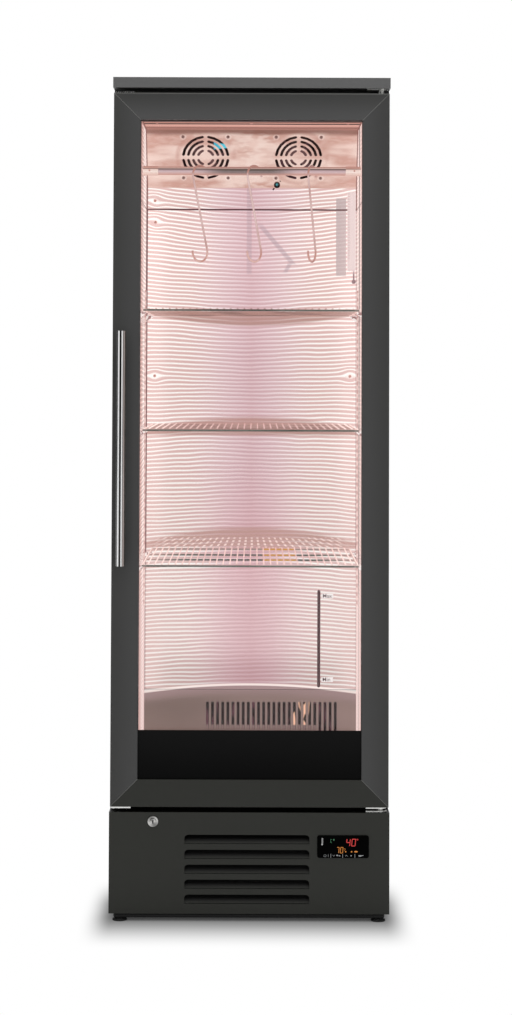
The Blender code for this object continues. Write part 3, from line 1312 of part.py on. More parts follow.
def led_strips():
    """Light strips on the side walls, behind the stiles of the door."""
    y = CARCASS_FRONT_Y + LED_SETBACK
    for name, side in (("left", -1), ("right", 1)):
        outer = side * FITTING_X
        inner = side * (FITTING_X - LED_WIDTH)
        low = (min(outer, inner), y, FLOOR_Z + LED_MARGIN)
        high = (max(outer, inner), y + LED_DEPTH, CEILING_Z - LED_MARGIN)
        part("led_strip_" + name, box_mesh("led_strip_" + name, (low, high)), "diffuser")


def bar_axis():
    """Height and depth of the hanging bar."""
    return BACK_PANEL_Y - BAR_TO_BACK, CEILING_Z - BAR_DROP


def hanging_bar():
    """Round bar from wall to wall, its ends in two sockets."""
    y, z = bar_axis()
    profile = [
        (0, SOCKET_END),
        (BAR_RADIUS + CLEAR, SOCKET_END),
        (BAR_RADIUS + CLEAR, SOCKET_LENGTH),
        (SOCKET_RADIUS, SOCKET_LENGTH),
        (SOCKET_RADIUS, 0),
        (0, 0),
    ]
    for name, side in (("left", -1), ("right", 1)):
        turn = Matrix.Rotation(math.radians(-90) * side, 4, "Y")
        socket = part("bar_socket_" + name, turned("bar_socket_" + name, profile), "polished_steel",
                      placed(side * FITTING_X, y, z, turn))
        spin(socket, ROUND_STEPS)
    end = FITTING_X - SOCKET_END - CLEAR
    rod = ((-end, y, z), (end, y, z), BAR_RADIUS)
    part("hanging_bar", rod_mesh("hanging_bar", rod), "polished_steel")


def hook_line():
    """Middle line of an S-hook in its own plane, about the axis of the bar, as (forwards, up)."""
    top = BAR_RADIUS + CLEAR + HOOK_WIRE_RADIUS
    upper = top - HOOK_BEND_RADIUS
    lower = top + 2 * HOOK_WIRE_RADIUS - HOOK_LENGTH + HOOK_BEND_RADIUS
    lean = math.degrees(math.asin(2 * HOOK_BEND_RADIUS / (upper - lower)))
    over = arc((0, upper), HOOK_BEND_RADIUS, HOOK_TIP_SWEEP - lean, -lean, HOOK_BEND_STEPS)
    under = arc((0, lower), HOOK_BEND_RADIUS, 180 - lean, 180 - lean + HOOK_TIP_SWEEP, HOOK_BEND_STEPS)
    return over + under


def hooks():
    """S-hooks that hang on the bar. Each swings about the bar."""
    y, z = bar_axis()
    for name, (x, yaw) in HOOK_PLACES.items():
        turn = math.radians(yaw)
        points = [(-along * math.sin(turn), -along * math.cos(turn), up) for along, up in hook_line()]
        mesh = curve_mesh(wire_curve("hook_" + name, points, HOOK_WIRE_RADIUS))
        part("hook_" + name, mesh, "polished_steel", placed(x, y, z))


def shelf_ends():
    return CARCASS_FRONT_Y + SHELF_FRONT_SETBACK, BACK_PANEL_Y - SHELF_BACK_GAP


def shelves():
    """Wire shelves: a rim, cross wires between its sides, and close wires welded on its front and back."""
    front, back = shelf_ends()
    side = INNER_X - SHELF_SIDE_GAP
    corners = rounded_rectangle((-side, front), (side, back), SHELF_CORNER)
    rim_curve = wire_curve("shelf_rim", [(x, y, 0) for x, y in corners], SHELF_RIM_RADIUS)
    rim_curve.use_fill_caps = False
    rim_curve.splines[0].use_cyclic_u = True
    rim = curve_mesh(rim_curve)
    on_top = SHELF_RIM_RADIUS + SHELF_WIRE_RADIUS * (1 - SHELF_WELD_SHARE)
    pitch = 2 * (side - SHELF_END_MARGIN) / (SHELF_WIRES - 1)
    long_wires = []
    for number in range(SHELF_WIRES):
        x = -side + SHELF_END_MARGIN + number * pitch
        start = (x, front - SHELF_RIM_RADIUS, on_top)
        end = (x, back + SHELF_RIM_RADIUS, on_top)
        long_wires.append((start, end, SHELF_WIRE_RADIUS))
    long_mesh = rod_mesh("shelf_wires", *long_wires, sides=4)
    low = on_top - SHELF_WIRE_RADIUS - CLEAR - SHELF_CROSS_RADIUS
    cross_wires = []
    for share in SHELF_CROSS_SHARES:
        y = front + (back - front) * share
        cross_wires.append(((-side, y, low), (side, y, low), SHELF_CROSS_RADIUS))
    cross_mesh = rod_mesh("shelf_cross_wires", *cross_wires, sides=8)
    for name, height in SHELF_HEIGHTS.items():
        place = placed(0, 0, FLOOR_Z + height)
        shelf = part("shelf_" + name, rim.copy(), "wire_steel", place)
        weld(shelf, tool("cross_wires_" + name, cross_mesh.copy(), place))
        weld(shelf, tool("wires_" + name, long_mesh.copy(), place))


def shelf_standards():
    """Upright strips on the side walls, with a bracket under each side of each shelf."""
    front, back = shelf_ends()
    side = INNER_X - SHELF_SIDE_GAP
    face = FITTING_X - STANDARD_SHEET
    for side_name, hand in (("left", -1), ("right", 1)):
        for end_name, y in (("front", front + STANDARD_INSET), ("rear", back - STANDARD_INSET)):
            name = f"shelf_standard_{end_name}_{side_name}"
            low = (min(hand * face, hand * FITTING_X), y - STANDARD_WIDTH / 2, FLOOR_Z + STANDARD_BOTTOM)
            high = (max(hand * face, hand * FITTING_X), y + STANDARD_WIDTH / 2, FLOOR_Z + STANDARD_TOP)
            strip = part(name, box_mesh(name, (low, high)), "polished_steel")
            outline = [
                (hand * (side - CLIP_REACH), 0),
                (hand * (face + STANDARD_SHEET / 2), 0),
                (hand * (face + STANDARD_SHEET / 2), -CLIP_HEIGHT),
                (hand * (side - CLIP_REACH), -CLIP_NOSE),
            ]
            clip = plate_mesh(name + "_clip", [outline], CLIP_WIDTH)
            clips = []
            for height in SHELF_HEIGHTS.values():
                top = FLOOR_Z + height - SHELF_RIM_RADIUS - CLEAR
                clips.append((clip, placed(0, y, top, FACING_FRONT)))
            weld(strip, tool(name + "_clips", joined_mesh(name + "_clips", clips)))


def hang(name, point, pieces):
    """Hangs the pieces that move together on an empty that stands on their joint's axis."""
    empty = bpy.data.objects.new(name, None)
    PARTS.objects.link(empty)
    empty.matrix_world = Matrix.Translation(point)
    for piece in pieces:
        piece.parent = empty
        piece.matrix_parent_inverse = empty.matrix_world.inverted()


outer_shell()
rear_panel()
foam_insulation()
liner()
top_cap()
base_pan()
feet()
front_panel()
rear_grille()
controller()
lock()
condenser()
condenser_fan()
compressor()
evaporation_tray()
hinges()
back_panel()
intake_grille()
water_tank()
evaporator_cover()
evaporator_fans()
evaporator_coil()
temperature_probe()
uv_lamp_housing()
led_strips()
hanging_bar()
hooks()
shelves()
shelf_standards()
hang("door_axis", hinge_axis(), [*door_frame(), *glazing(), door_gasket(), handle(), *corner_plates()])
for piece in PARTS.objects:
    if piece.type == "MESH":
        smooth(piece)
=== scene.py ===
import math

import bmesh
import bpy
from mathutils import Matrix, Vector


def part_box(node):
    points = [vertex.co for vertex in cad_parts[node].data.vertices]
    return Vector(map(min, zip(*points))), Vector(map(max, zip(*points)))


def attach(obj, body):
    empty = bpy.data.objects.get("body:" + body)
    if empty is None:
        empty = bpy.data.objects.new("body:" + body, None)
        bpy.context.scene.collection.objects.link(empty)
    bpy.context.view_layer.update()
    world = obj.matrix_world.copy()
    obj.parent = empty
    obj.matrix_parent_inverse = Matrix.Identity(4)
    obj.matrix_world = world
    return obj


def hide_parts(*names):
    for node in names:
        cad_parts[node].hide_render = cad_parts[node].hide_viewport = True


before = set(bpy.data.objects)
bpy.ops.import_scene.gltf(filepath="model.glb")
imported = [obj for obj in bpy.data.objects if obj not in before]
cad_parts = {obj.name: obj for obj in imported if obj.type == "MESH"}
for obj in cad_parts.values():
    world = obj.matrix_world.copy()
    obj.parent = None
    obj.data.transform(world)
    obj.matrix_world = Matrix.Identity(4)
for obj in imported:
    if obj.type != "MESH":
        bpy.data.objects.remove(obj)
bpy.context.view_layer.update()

# The studio: a white floor with a painted soft shadow in front of the cabinet, an even room light, one soft
# lamp overhead and one in front. Shiny metal sees a dim room with three tall lamps and a white backdrop.
CAMERA_PLACE = (0.0092, -4.908, 1.1792)
CAMERA_TILT, CAMERA_ROLL = 91.806, 0.2116
CAMERA_LENS = 75.75
CAMERA_SHIFT = (0.0006, -0.2018)
ROOM_LIGHT = 0.62
ROOM_SEEN = 0.004
CONTACT_REACH = 0.06
WHITE = (1.0, 1.0, 1.0)

scene = bpy.context.scene
scene.view_settings.view_transform = "Standard"
for leftover in [o for o in scene.objects if o.type in ("LIGHT", "CAMERA")]:
    bpy.data.objects.remove(leftover)

camera_data = bpy.data.cameras.new("camera")
camera_data.sensor_width = 36.0
camera_data.lens = CAMERA_LENS
camera_data.shift_x, camera_data.shift_y = CAMERA_SHIFT
camera = bpy.data.objects.new("camera", camera_data)
camera.location = CAMERA_PLACE
tilt = Matrix.Rotation(math.radians(CAMERA_TILT), 4, "X")
camera.rotation_euler = (tilt @ Matrix.Rotation(math.radians(CAMERA_ROLL), 4, "Z")).to_euler()
scene.collection.objects.link(camera)
scene.camera = camera


def sum_with(operation, reflected=False):
    """The method behind an operator sign between a wire and another wire or a number."""

    def work(self, other):
        return self.math(operation, *((other, self) if reflected else (self, other)))

    return work


class Wire:
    """A value on its way between nodes. Sums written with it add Math nodes to its tree."""

    def __init__(self, tree, output):
        self.tree = tree
        self.output = output

    def node(self, kind, settings=None, inputs=None, output=0):
        """Adds any node: its settings first, then the values or wires of its sockets."""
        made = self.tree.nodes.new(kind)
        for name, value in (settings or {}).items():
            if name == "stops":
                elements = made.color_ramp.elements
                while len(elements) < len(value):
                    elements.new(1.0)
                for element, (position, colour) in zip(elements, value):
                    element.position = position
                    element.color = (*colour, 1.0)
            else:
                setattr(made, name, value)
        for name, value in (inputs or {}).items():
            socket = made.inputs[name]
            for source in value if isinstance(value, list) else [value]:
                if isinstance(source, Wire):
                    self.tree.links.new(source.output, socket)
                elif socket.type == "RGBA" and len(source) == 3:
                    socket.default_value = (*source, 1.0)
                else:
                    socket.default_value = source
        return Wire(self.tree, made.outputs[output])

    def out(self, name):
        """Another output of the same node."""
        return Wire(self.tree, self.output.node.outputs[name])

    def math(self, operation, *values):
        return self.node("ShaderNodeMath", {"operation": operation}, dict(enumerate(values)))

    __add__ = __radd__ = sum_with("ADD")
    __sub__, __rsub__ = sum_with("SUBTRACT"), sum_with("SUBTRACT", True)
    __mul__ = __rmul__ = sum_with("MULTIPLY")
    __truediv__, __rtruediv__ = sum_with("DIVIDE"), sum_with("DIVIDE", True)
    __pow__ = sum_with("POWER")
    __gt__, __lt__ = sum_with("GREATER_THAN"), sum_with("LESS_THAN")
    either = sum_with("MAXIMUM")

    def __abs__(self):
        return self.math("ABSOLUTE", self)

    def ramp(self, low, high):
        """Rises smoothly from 0 at low to 1 at high, or falls if low is the larger."""
        ends = {1: low, 2: high} if low < high else {1: high, 2: low, 3: 1.0, 4: 0.0}
        return self.node("ShaderNodeMapRange", {"interpolation_type": "SMOOTHSTEP"}, {0: self, **ends})

    def mix(self, first, second):
        """Colour between first, where this wire is 0, and second, where it is 1."""
        return self.node("ShaderNodeMix", {"data_type": "RGBA"}, {0: self, 6: first, 7: second}, 2)

    def times(self, colour):
        """A colour made lighter or darker by this number."""
        return self.node("ShaderNodeVectorMath", {"operation": "SCALE"}, {0: colour, "Scale": self})

    def at(self, x=0.0, y=0.0, z=0.0):
        """Three numbers or wires joined to a place or a size."""
        return self.node("ShaderNodeCombineXYZ", inputs={0: x, 1: y, 2: z})


class Finish(Wire):
    """One finish of the cabinet: a Principled shader, fed by wires or set to constants."""

    def __init__(self, name, **sockets):
        self.material = bpy.data.materials.new(name)
        self.material.use_nodes = True
        self.tree = self.material.node_tree
        self.shader = self.tree.nodes["Principled BSDF"]
        self.set(**sockets)

    def set(self, **sockets):
        for name, value in sockets.items():
            socket = self.shader.inputs[name.replace("_", " ").title().replace("Ior", "IOR")]
            if isinstance(value, Wire):
                self.tree.links.new(value.output, socket)
            else:
                socket.default_value = (*value, 1.0) if socket.type == "RGBA" else value
        return self

    def places(self):
        """The three coordinates of a point of the piece, in metres."""
        point = self.node("ShaderNodeTexCoord", output="Object")
        split = self.node("ShaderNodeSeparateXYZ", inputs={0: point})
        return split.out("X"), split.out("Y"), split.out("Z")

    def cloud(self, x, y, z, detail=1.0, scale=1.0):
        """Soft noise from 0 to 1, with this many lumps to a unit of each coordinate."""
        sockets = {"Vector": self.at(x, y, z), "Scale": scale, "Detail": detail}
        return self.node("ShaderNodeTexNoise", inputs=sockets)

    def grain(self, scale, detail=1.0):
        """The same all over the piece, with this many lumps to a metre."""
        return self.cloud(*self.places(), detail, scale)

    def bump(self, height, distance):
        self.set(normal=self.node("ShaderNodeBump", inputs={"Height": height, "Distance": distance}))

    def tint(self):
        """The wire that feeds the base colour at present."""
        return Wire(self.tree, self.shader.inputs["Base Color"].links[0].from_socket)


def ray_kind(wire, *kinds):
    """1 where the ray that looks is of one of these kinds."""
    rays = wire.node("ShaderNodeLightPath")
    mask = rays.out(f"Is {kinds[0]} Ray")
    for kind in kinds[1:]:
        mask = mask.either(rays.out(f"Is {kind} Ray"))
    return mask


world = bpy.data.worlds.new("studio")
scene.world = world
world.use_nodes = True
background = world.node_tree.nodes["Background"]
sky = Wire(world.node_tree, background.outputs[0])
towards = sky.node("ShaderNodeSeparateXYZ", inputs={0: sky.node("ShaderNodeTexCoord", output="Generated")})
north, high = towards.out("Y"), towards.out("Z")
bearing = sky.math("ARCTAN2", towards.out("X"), 0 - north)
lamps = high.ramp(0.55, 0.75) * 0.8 + north.ramp(0.80, 0.84)
for left, left_full, right_full, right, power in (
    (-1.28, -1.18, -0.78, -0.70, 1.0), (0.20, 0.26, 0.54, 0.62, 1.0), (1.12, 1.20, 1.50, 1.60, 0.35),
):
    lamps = lamps + bearing.ramp(left, left_full) * bearing.ramp(right, right_full) * power
room = ray_kind(sky, "Glossy").mix((ROOM_LIGHT,) * 3, lamps.mix((ROOM_SEEN,) * 3, WHITE))
shown = ray_kind(sky, "Camera", "Transmission").mix(room, WHITE)
world.node_tree.links.new(shown.output, background.inputs["Color"])

for name, place, aim, size, power in (
    ("overhead_lamp", (0.0, -1.2, 3.6), (0.0, 0.0, 0.9), 2.4, 60.0),
    ("front_lamp", (-0.2, -4.4, 2.6), (0.0, 0.0, 1.0), 4.4, 64.0),
):
    lamp_data = bpy.data.lights.new(name, "AREA")
    lamp_data.size = size
    lamp_data.energy = power
    lamp = bpy.data.objects.new(name, lamp_data)
    lamp.location = place
    lamp.rotation_euler = (Vector(aim) - Vector(place)).to_track_quat("-Z", "Y").to_euler()
    lamp.visible_glossy = False
    scene.collection.objects.link(lamp)

panel_low, panel_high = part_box("front_panel")
floor_mesh = bpy.data.meshes.new("floor")
floor_mesh.from_pydata([(-9, -9, 0), (9, -9, 0), (9, 9, 0), (-9, 9, 0)], [], [(0, 1, 2, 3)])
floor = bpy.data.objects.new("floor", floor_mesh)
scene.collection.objects.link(floor)
floor_finish = Finish("floor_finish", base_color=(0.8, 0.8, 0.8), roughness=0.9)
x, y, z = floor_finish.places()
# Painted shadow: beside and in front of the base, the floor's shade is drawn from the base's footprint, and ambient
# occlusion adds the contact shade close under it.
aside = (abs(x + 0.002) - panel_high.x).ramp(0.068, -0.010) ** 1.5
ahead = (panel_low.y - y).ramp(0.215, -0.060)
behind = y.ramp(0.09, -0.17)
near = floor_finish.node("ShaderNodeAmbientOcclusion", {"samples": 12}, {"Distance": CONTACT_REACH}, "AO")
lit = (1.0 - aside * ahead * behind * 0.85) * near.ramp(-0.09, 0.42)
shown = floor_finish.node("ShaderNodeEmission", inputs={"Color": lit.mix((0.01,) * 3, WHITE)})
direct = ray_kind(floor_finish, "Camera", "Transmission", "Glossy")
plain = Wire(floor_finish.tree, floor_finish.shader.outputs[0])
surface = plain.node("ShaderNodeMixShader", inputs={0: direct, 1: plain, 2: shown})
floor_finish.tree.links.new(surface.output, floor_finish.tree.nodes["Material Output"].inputs["Surface"])
floor_mesh.materials.append(floor_finish.material)

# The case: folded steel sheet, powder coated in satin charcoal. The coat has a fine orange peel and
# lies a little unevenly, so its tone drifts over the large sides. Each side is hemmed front and back.
CHARCOAL = (0.021, 0.021, 0.020)
HEM_WIDTH = 0.018
PEEL_LUMPS, PEEL_DEPTH = 1400.0, 0.00004
shell_low, shell_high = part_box("outer_shell")


def coated(name, tone, gloss=0.42):
    """Satin powder coat of this tone on sheet metal."""
    finish = Finish(name, specular_ior_level=0.32)
    speckle = finish.grain(PEEL_LUMPS)
    tint = (0.86 + finish.grain(5.0) * 0.16 + speckle * 0.12).times(tone)
    finish.set(base_color=tint, roughness=gloss - 0.06 + speckle * 0.12)
    finish.bump(speckle, PEEL_DEPTH)
    return finish


def paint(finish, *nodes):
    """Gives nodes of the frame their finish."""
    for node in nodes:
        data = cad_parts[node].data
        data.materials.clear()
        data.materials.append(finish.material)


shell_coat = coated("shell_coat", CHARCOAL)
x, y, z = shell_coat.places()
front_hem = abs(y - (shell_low.y + HEM_WIDTH)).ramp(0.0012, 0.0)
back_hem = abs(y - (shell_high.y - HEM_WIDTH)).ramp(0.0012, 0.0)
shell_coat.bump(shell_coat.grain(PEEL_LUMPS) * 0.04 - (front_hem + back_hem), 0.001)
paint(shell_coat, "outer_shell")

# The rear panel: a flat sheet of the same coated steel that closes the back of the case. Countersunk
# screws hold it all round, their heads flush with the sheet.
PANEL_SCREW_INSET = 0.012
PANEL_SCREWS_UP, PANEL_SCREWS_ACROSS = 0.2470, 0.1500


def to_nearest(value, pitch):
    """How far a coordinate is from the nearest whole multiple of a pitch."""
    return (value.math("FRACT", value / pitch + 0.5) - 0.5) * pitch


def far(across, up):
    """How far a point is from a centre, given its two ways to it."""
    return (across * across + up * up) ** 0.5


def flush_screws(finish, *rows):
    """Countersunk screws painted flush on the sheet, with painted shade in the ring round each head and in
    the driven cross. Each row gives the way to its nearest screw.
    """
    tint = finish.tint()
    for across, up in rows:
        away = far(across, up)
        cross = (finish.math("MINIMUM", abs(across), abs(up)) < 0.0005) * (away < 0.0025)
        # Painted shade: a near-black ring round the head, then a dark driven cross.
        tint = away.ramp(0.0047, 0.0042).mix(tint, (0.004, 0.004, 0.004))
        tint = away.ramp(0.0040, 0.0037).mix(tint, (0.30, 0.30, 0.29))
        tint = cross.mix(tint, (0.02, 0.02, 0.02))
    return finish.set(base_color=tint)


def screw_row(z, low, high, inset):
    """The way up to the nearer of the two screw rows along the low and the high edge."""
    middle = (low.z + high.z) / 2
    return abs(z - middle) - (high.z - middle - inset)


rear_low, rear_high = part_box("rear_panel")
rear_coat = coated("rear_coat", CHARCOAL, 0.5)
x, y, z = rear_coat.places()
up = to_nearest(z - (rear_low.z + rear_high.z) / 2, PANEL_SCREWS_UP)
sides = (abs(x) - (rear_high.x - PANEL_SCREW_INSET), up)
ends = (to_nearest(x, PANEL_SCREWS_ACROSS), screw_row(z, rear_low, rear_high, PANEL_SCREW_INSET))
paint(flush_screws(rear_coat, sides, ends), "rear_panel")

# The lid: a shallow folded tray of lighter grey coated sheet. It is pressed over the top of the case,
# and its front edge reaches out over the door.
paint(coated("lid_coat", (0.078, 0.078, 0.078), 0.40), "top_cap")

# The base: a black enamelled pan on two runners and four screwed feet. The charcoal front panel has five
# scooped louvres, painted darker inwards as shade, and a slotted cover closes the back.
FRONT_BLACK = (0.0135, 0.0140, 0.0110)
louvred_coat = coated("louvred_coat", FRONT_BLACK, 0.46)
x, y, z = louvred_coat.places()
# Painted shade: the louvres darken to near black the deeper they are pressed in.
louvre_shade = (y - panel_low.y).ramp(0.0003, 0.008) * (z > 0.020)
louvred_coat.set(base_color=louvre_shade.mix(louvred_coat.tint(), (0.0005, 0.0004, 0.0003)))
paint(louvred_coat, "front_panel")
paint(coated("pan_coat", (0.004, 0.004, 0.004), 0.5), "base_pan", "condenser", "condenser_fan_shroud")
grille_coat = coated("grille_coat", (0.006, 0.006, 0.006), 0.5)
x, y, z = grille_coat.places()
row = (to_nearest(x, 0.2850), screw_row(z, *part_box("rear_grille"), 0.010))
paint(flush_screws(grille_coat, row), "rear_grille")
foot_rubber = Finish("foot_rubber")
grip = foot_rubber.grain(700.0, 2.0)
foot_rubber.set(base_color=grip.mix((0.006,) * 3, (0.014,) * 3), roughness=0.58 + grip * 0.14)
foot_rubber.bump(grip, 0.00008)
paint(foot_rubber, "foot_front_left", "foot_front_right", "foot_rear_left", "foot_rear_right")

# The machine: a hermetic compressor on rubber grommets with its two copper pipes, a moulded fan wheel
# behind the finned condenser, and a black plastic tray for the defrost water.
PIPE_RADIUS = 0.0032
PIPE_TOP = 0.2320
paint(coated("shell_enamel", (0.006, 0.006, 0.0065), 0.28), "compressor")


def moulded(name, tone, gloss=0.45):
    """Moulded plastic of this tone, with the grain of its tool."""
    finish = Finish(name)
    grain = finish.grain(900.0, 2.0)
    tint = (0.90 + grain * 0.10 + finish.grain(18.0) * 0.10).times(tone)
    finish.set(base_color=tint, roughness=gloss - 0.05 + grain * 0.10)
    finish.bump(grain, 0.00002)
    return finish


black_plastic = moulded("black_plastic", (0.010, 0.010, 0.011), 0.5)
paint(black_plastic, "condenser_impeller", "evaporation_tray")


def plated(name, tone, gloss):
    """Polished or plated metal with faint rubbing marks."""
    finish = Finish(name, metallic=1.0)
    x, y, z = finish.places()
    marks = finish.cloud(x * 6.0, y * 6.0, z, 3.0, 160.0)
    return finish.set(base_color=(0.90 + marks * 0.12).times(tone), roughness=gloss - 0.04 + marks * 0.10)


def plan(name, **sizes):
    """Starts a Geometry Nodes tree. Gives a wire for its base mesh and one for each named input."""
    tree = bpy.data.node_groups.new(name, "GeometryNodeTree")
    tree.interface.new_socket("Base", in_out="INPUT", socket_type="NodeSocketGeometry")
    for size, kind in sizes.items():
        tree.interface.new_socket(size, in_out="INPUT", socket_type="NodeSocket" + kind)
    tree.interface.new_socket("Mesh", in_out="OUTPUT", socket_type="NodeSocketGeometry")
    given = tree.nodes.new("NodeGroupInput")
    return [Wire(tree, socket) for socket in given.outputs if socket.name]


def end_plan(mesh, finish):
    """Ends a tree: its instances become real and take their finish."""
    real = mesh.node("GeometryNodeRealizeInstances", inputs={"Geometry": mesh})
    dressed = real.node("GeometryNodeSetMaterial", inputs={"Geometry": real, "Material": finish})
    end = mesh.tree.nodes.new("NodeGroupOutput")
    mesh.tree.links.new(dressed.output, end.inputs[0])
    return mesh.tree


def settle(piece, body, nodes):
    """Lets a piece ride on its body, and hides the nodes of the frame that it stands for."""
    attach(piece, body)
    if nodes:
        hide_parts(*nodes)


def grow(name, tree, base, slot, *nodes, body="cabinet", **sizes):
    """Runs a tree on a base mesh and keeps the result as a plain piece."""
    piece = bpy.data.objects.new(name, base)
    scene.collection.objects.link(piece)
    modifier = piece.modifiers.new("plan", "NODES")
    modifier.node_group = tree
    for item in tree.interface.items_tree:
        if item.in_out == "INPUT" and item.name in sizes:
            modifier[item.identifier] = sizes[item.name]
    made = bpy.data.meshes.new_from_object(piece.evaluated_get(bpy.context.evaluated_depsgraph_get()))
    piece.modifiers.remove(modifier)
    piece.data = made
    settle(piece, body, nodes)


def points(name, places, joined=False):
    """A base mesh of bare points, or of points joined one after the other."""
    mesh = bpy.data.meshes.new(name)
    mesh.from_pydata(places, [(n, n + 1) for n in range(len(places) - 1)] if joined else [], [])
    return mesh


def swept(line, radius, sides, closed_ends=True):
    """Round wire or pipe along a curve."""
    ring = line.node("GeometryNodeCurvePrimitiveCircle", inputs={"Resolution": sides, "Radius": radius})
    sockets = {"Curve": line, "Profile Curve": ring, "Fill Caps": closed_ends}
    return line.node("GeometryNodeCurveToMesh", inputs=sockets)


base, radius, finish = plan("bent_rods", Radius="Float", Finish="Material")
rod = swept(base.node("GeometryNodeMeshToCurve", inputs={"Mesh": base}), radius, 14)
rod = rod.node("GeometryNodeSetShadeSmooth", inputs={"Geometry": rod})
rod_plan = end_plan(rod, finish)


def bent_rod(name, path, radius, finish, slot, *nodes, body="cabinet"):
    """Round wire or pipe that follows a line of points, with closed ends."""
    base = points(name, path, joined=True)
    grow(name, rod_plan, base, slot, *nodes, body=body, Radius=radius, Finish=finish.material)


def rounded(corners, radius, steps=6):
    """A path through these corners, each one rounded to this radius."""
    corners = [Vector(corner) for corner in corners]
    path = [corners[0]]
    for before, corner, after in zip(corners, corners[1:], corners[2:]):
        first = corner + (before - corner).normalized() * radius
        last = corner + (after - corner).normalized() * radius
        for step in range(steps + 1):
            share = step / steps
            path.append(first * (1 - share) ** 2 + corner * 2 * share * (1 - share) + last * share ** 2)
    return path + [corners[-1]]


machine_low, machine_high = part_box("compressor")
copper = plated("copper", (0.55, 0.22, 0.12), 0.28)
middle = (machine_low.x + machine_high.x) / 2
for name, x, z in (("suction_pipe", middle - 0.085, 0.145), ("discharge_pipe", middle - 0.100, 0.095)):
    y = machine_low.y + 0.060 + (z - 0.095) * 0.4
    corners = [(middle - 0.070, y, z), (x, y, z), (x, y, z + 0.03), (x, y + 0.03, PIPE_TOP)]
    bent_rod(name, rounded(corners, 0.010), PIPE_RADIUS, copper, "copper_steel")

# The lock: a turned brass barrel and plug, nickel plated and polished, with a steel cam behind. The
# plug's face carries a raised ring, and a near-black plate stands in its keyway as painted shade.
KEYWAY = ((-0.0014, -0.0032), (0.0014, -0.0032), (0.0014, 0.0012), (0.0022, 0.0032), (-0.0022, 0.0032),
          (-0.0014, 0.0012))
LOCK_X = -0.2059
plug_low, plug_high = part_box("lock_plug")
lock_z = (plug_low.z + plug_high.z) / 2
nickel = Finish("nickel", metallic=0.85, roughness=0.30)
x, y, z = nickel.places()
# Painted highlight: the nickel is lighter and darker in bands round the plug's centre.
around = nickel.math("ARCTAN2", z - lock_z, x - LOCK_X)
painted_sheen = nickel.math("SINE", around * 2.0 + 0.6) * 0.5 + 0.5
nickel.set(base_color=(0.14 + painted_sheen * 0.36 + nickel.grain(900.0, 2.0) * 0.16).times((1.0, 0.99, 0.96)))
paint(nickel, "lock_barrel", "lock_plug")


def keep(name, bm, finish, slot, *nodes, body="cabinet"):
    """Turns a finished bmesh into a piece, smooth but for its sharp edges."""
    bmesh.ops.recalc_face_normals(bm, faces=bm.faces)
    mesh = bpy.data.meshes.new(name)
    bm.to_mesh(mesh)
    bm.free()
    mesh.shade_smooth()
    mesh.set_sharp_from_angle(angle=math.radians(35.0))
    mesh.materials.append(finish.material)
    piece = bpy.data.objects.new(name, mesh)
    scene.collection.objects.link(piece)
    settle(piece, body, nodes)


def plates(name, outlines, front, back, finish, slot, body="cabinet", place=Matrix.Identity(4)):
    """Thin closed plates, cut to outlines of (across, up) and standing between two depths."""
    bm = bmesh.new()
    for outline in outlines:
        near, far = ([bm.verts.new(place @ Vector((x, y, z))) for x, z in outline] for y in (front, back))
        bm.faces.new(near)
        bm.faces.new(far[::-1])
        for n in range(len(outline)):
            m = (n + 1) % len(outline)
            bm.faces.new((near[n], far[n], far[m], near[m]))
    keep(name, bm, finish, slot, body=body)


def turned(profile, centre, axis="Z", steps=48, bm=None):
    """Lathe work: a profile of (radius, place along the axis) turned about the axis."""
    bm = bm or bmesh.new()
    turn = {"X": Matrix.Rotation(math.pi / 2, 4, "Y"), "Y": Matrix.Rotation(math.pi / 2, 4, "X"),
            "Z": Matrix.Identity(4)}[axis]
    place = Matrix.Translation(centre) @ turn
    rings = []
    for radius, along in profile:
        turns = [math.tau * n / steps for n in range(steps if radius > 1e-6 else 1)]
        ring = [(radius * math.cos(t), radius * math.sin(t), along) for t in turns]
        rings.append([bm.verts.new(place @ Vector(point)) for point in ring])
    for low, high in zip(rings, rings[1:]):
        for n in range(steps):
            m = (n + 1) % steps
            corners = (low[n % len(low)], low[m % len(low)], high[m % len(high)], high[n % len(high)])
            bm.faces.new(list(dict.fromkeys(corners)))
    return bm


# Painted shade: a near-black plate in the keyway for the shade in its hollow.
keyway_black = Finish("keyway_black", base_color=(0.002, 0.002, 0.002), roughness=0.6)
keyway = [(LOCK_X + x, lock_z + z) for x, z in KEYWAY]
plates("keyway", [keyway], plug_low.y - 0.00012, plug_low.y + 0.0008, keyway_black, "black_plastic", "lock")
face_ring = turned([(0.0050, 0.0), (0.0062, 0.0), (0.0060, 0.0005), (0.0052, 0.0005), (0.0050, 0.0)],
                   (LOCK_X, plug_low.y + 0.0001, lock_z), "Y", 32)
keep("lock_face_ring", face_ring, nickel, "polished_steel", body="lock")

# The controller: a black moulded case behind a smoked acrylic window. Lamps behind the window show red
# and amber figures, two marks and a green lamp, above a row of printed key signs that glow as painted light.
DISPLAY_LEAN = 0.10
window_black = Finish("window_black", specular_ior_level=0.012)
smudge = window_black.grain(60.0, 2.0)
window_black.set(base_color=smudge.mix((0.0002,) * 3, (0.0008,) * 3), roughness=0.16 + smudge * 0.06)
paint(window_black, "controller")
window_low, window_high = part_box("controller")
window_x, window_z = (window_low.x + window_high.x) / 2, (window_low.z + window_high.z) / 2


def seen(red, green, blue):
    """A colour as a screen shows it, from 0 to 255, turned into the linear light of a material."""
    return tuple(((v / 255 + 0.055) / 1.055) ** 2.4 if v > 10 else v / 3294.6 for v in (red, green, blue))


def stroke(x0, z0, x1, z1, width):
    """A straight stroke of a sign from one point to another, in millimetres."""
    start, end = Vector((x0, z0)), Vector((x1, z1))
    side = (end - start).normalized().orthogonal() * width / 2
    return [tuple(corner) for corner in (start - side, end - side, end + side, start + side)]


def spot(x, z, wide, high, steps=16):
    turns = [math.tau * n / steps for n in range(steps)]
    return [(x + wide * math.cos(t), z + high * math.sin(t)) for t in turns]


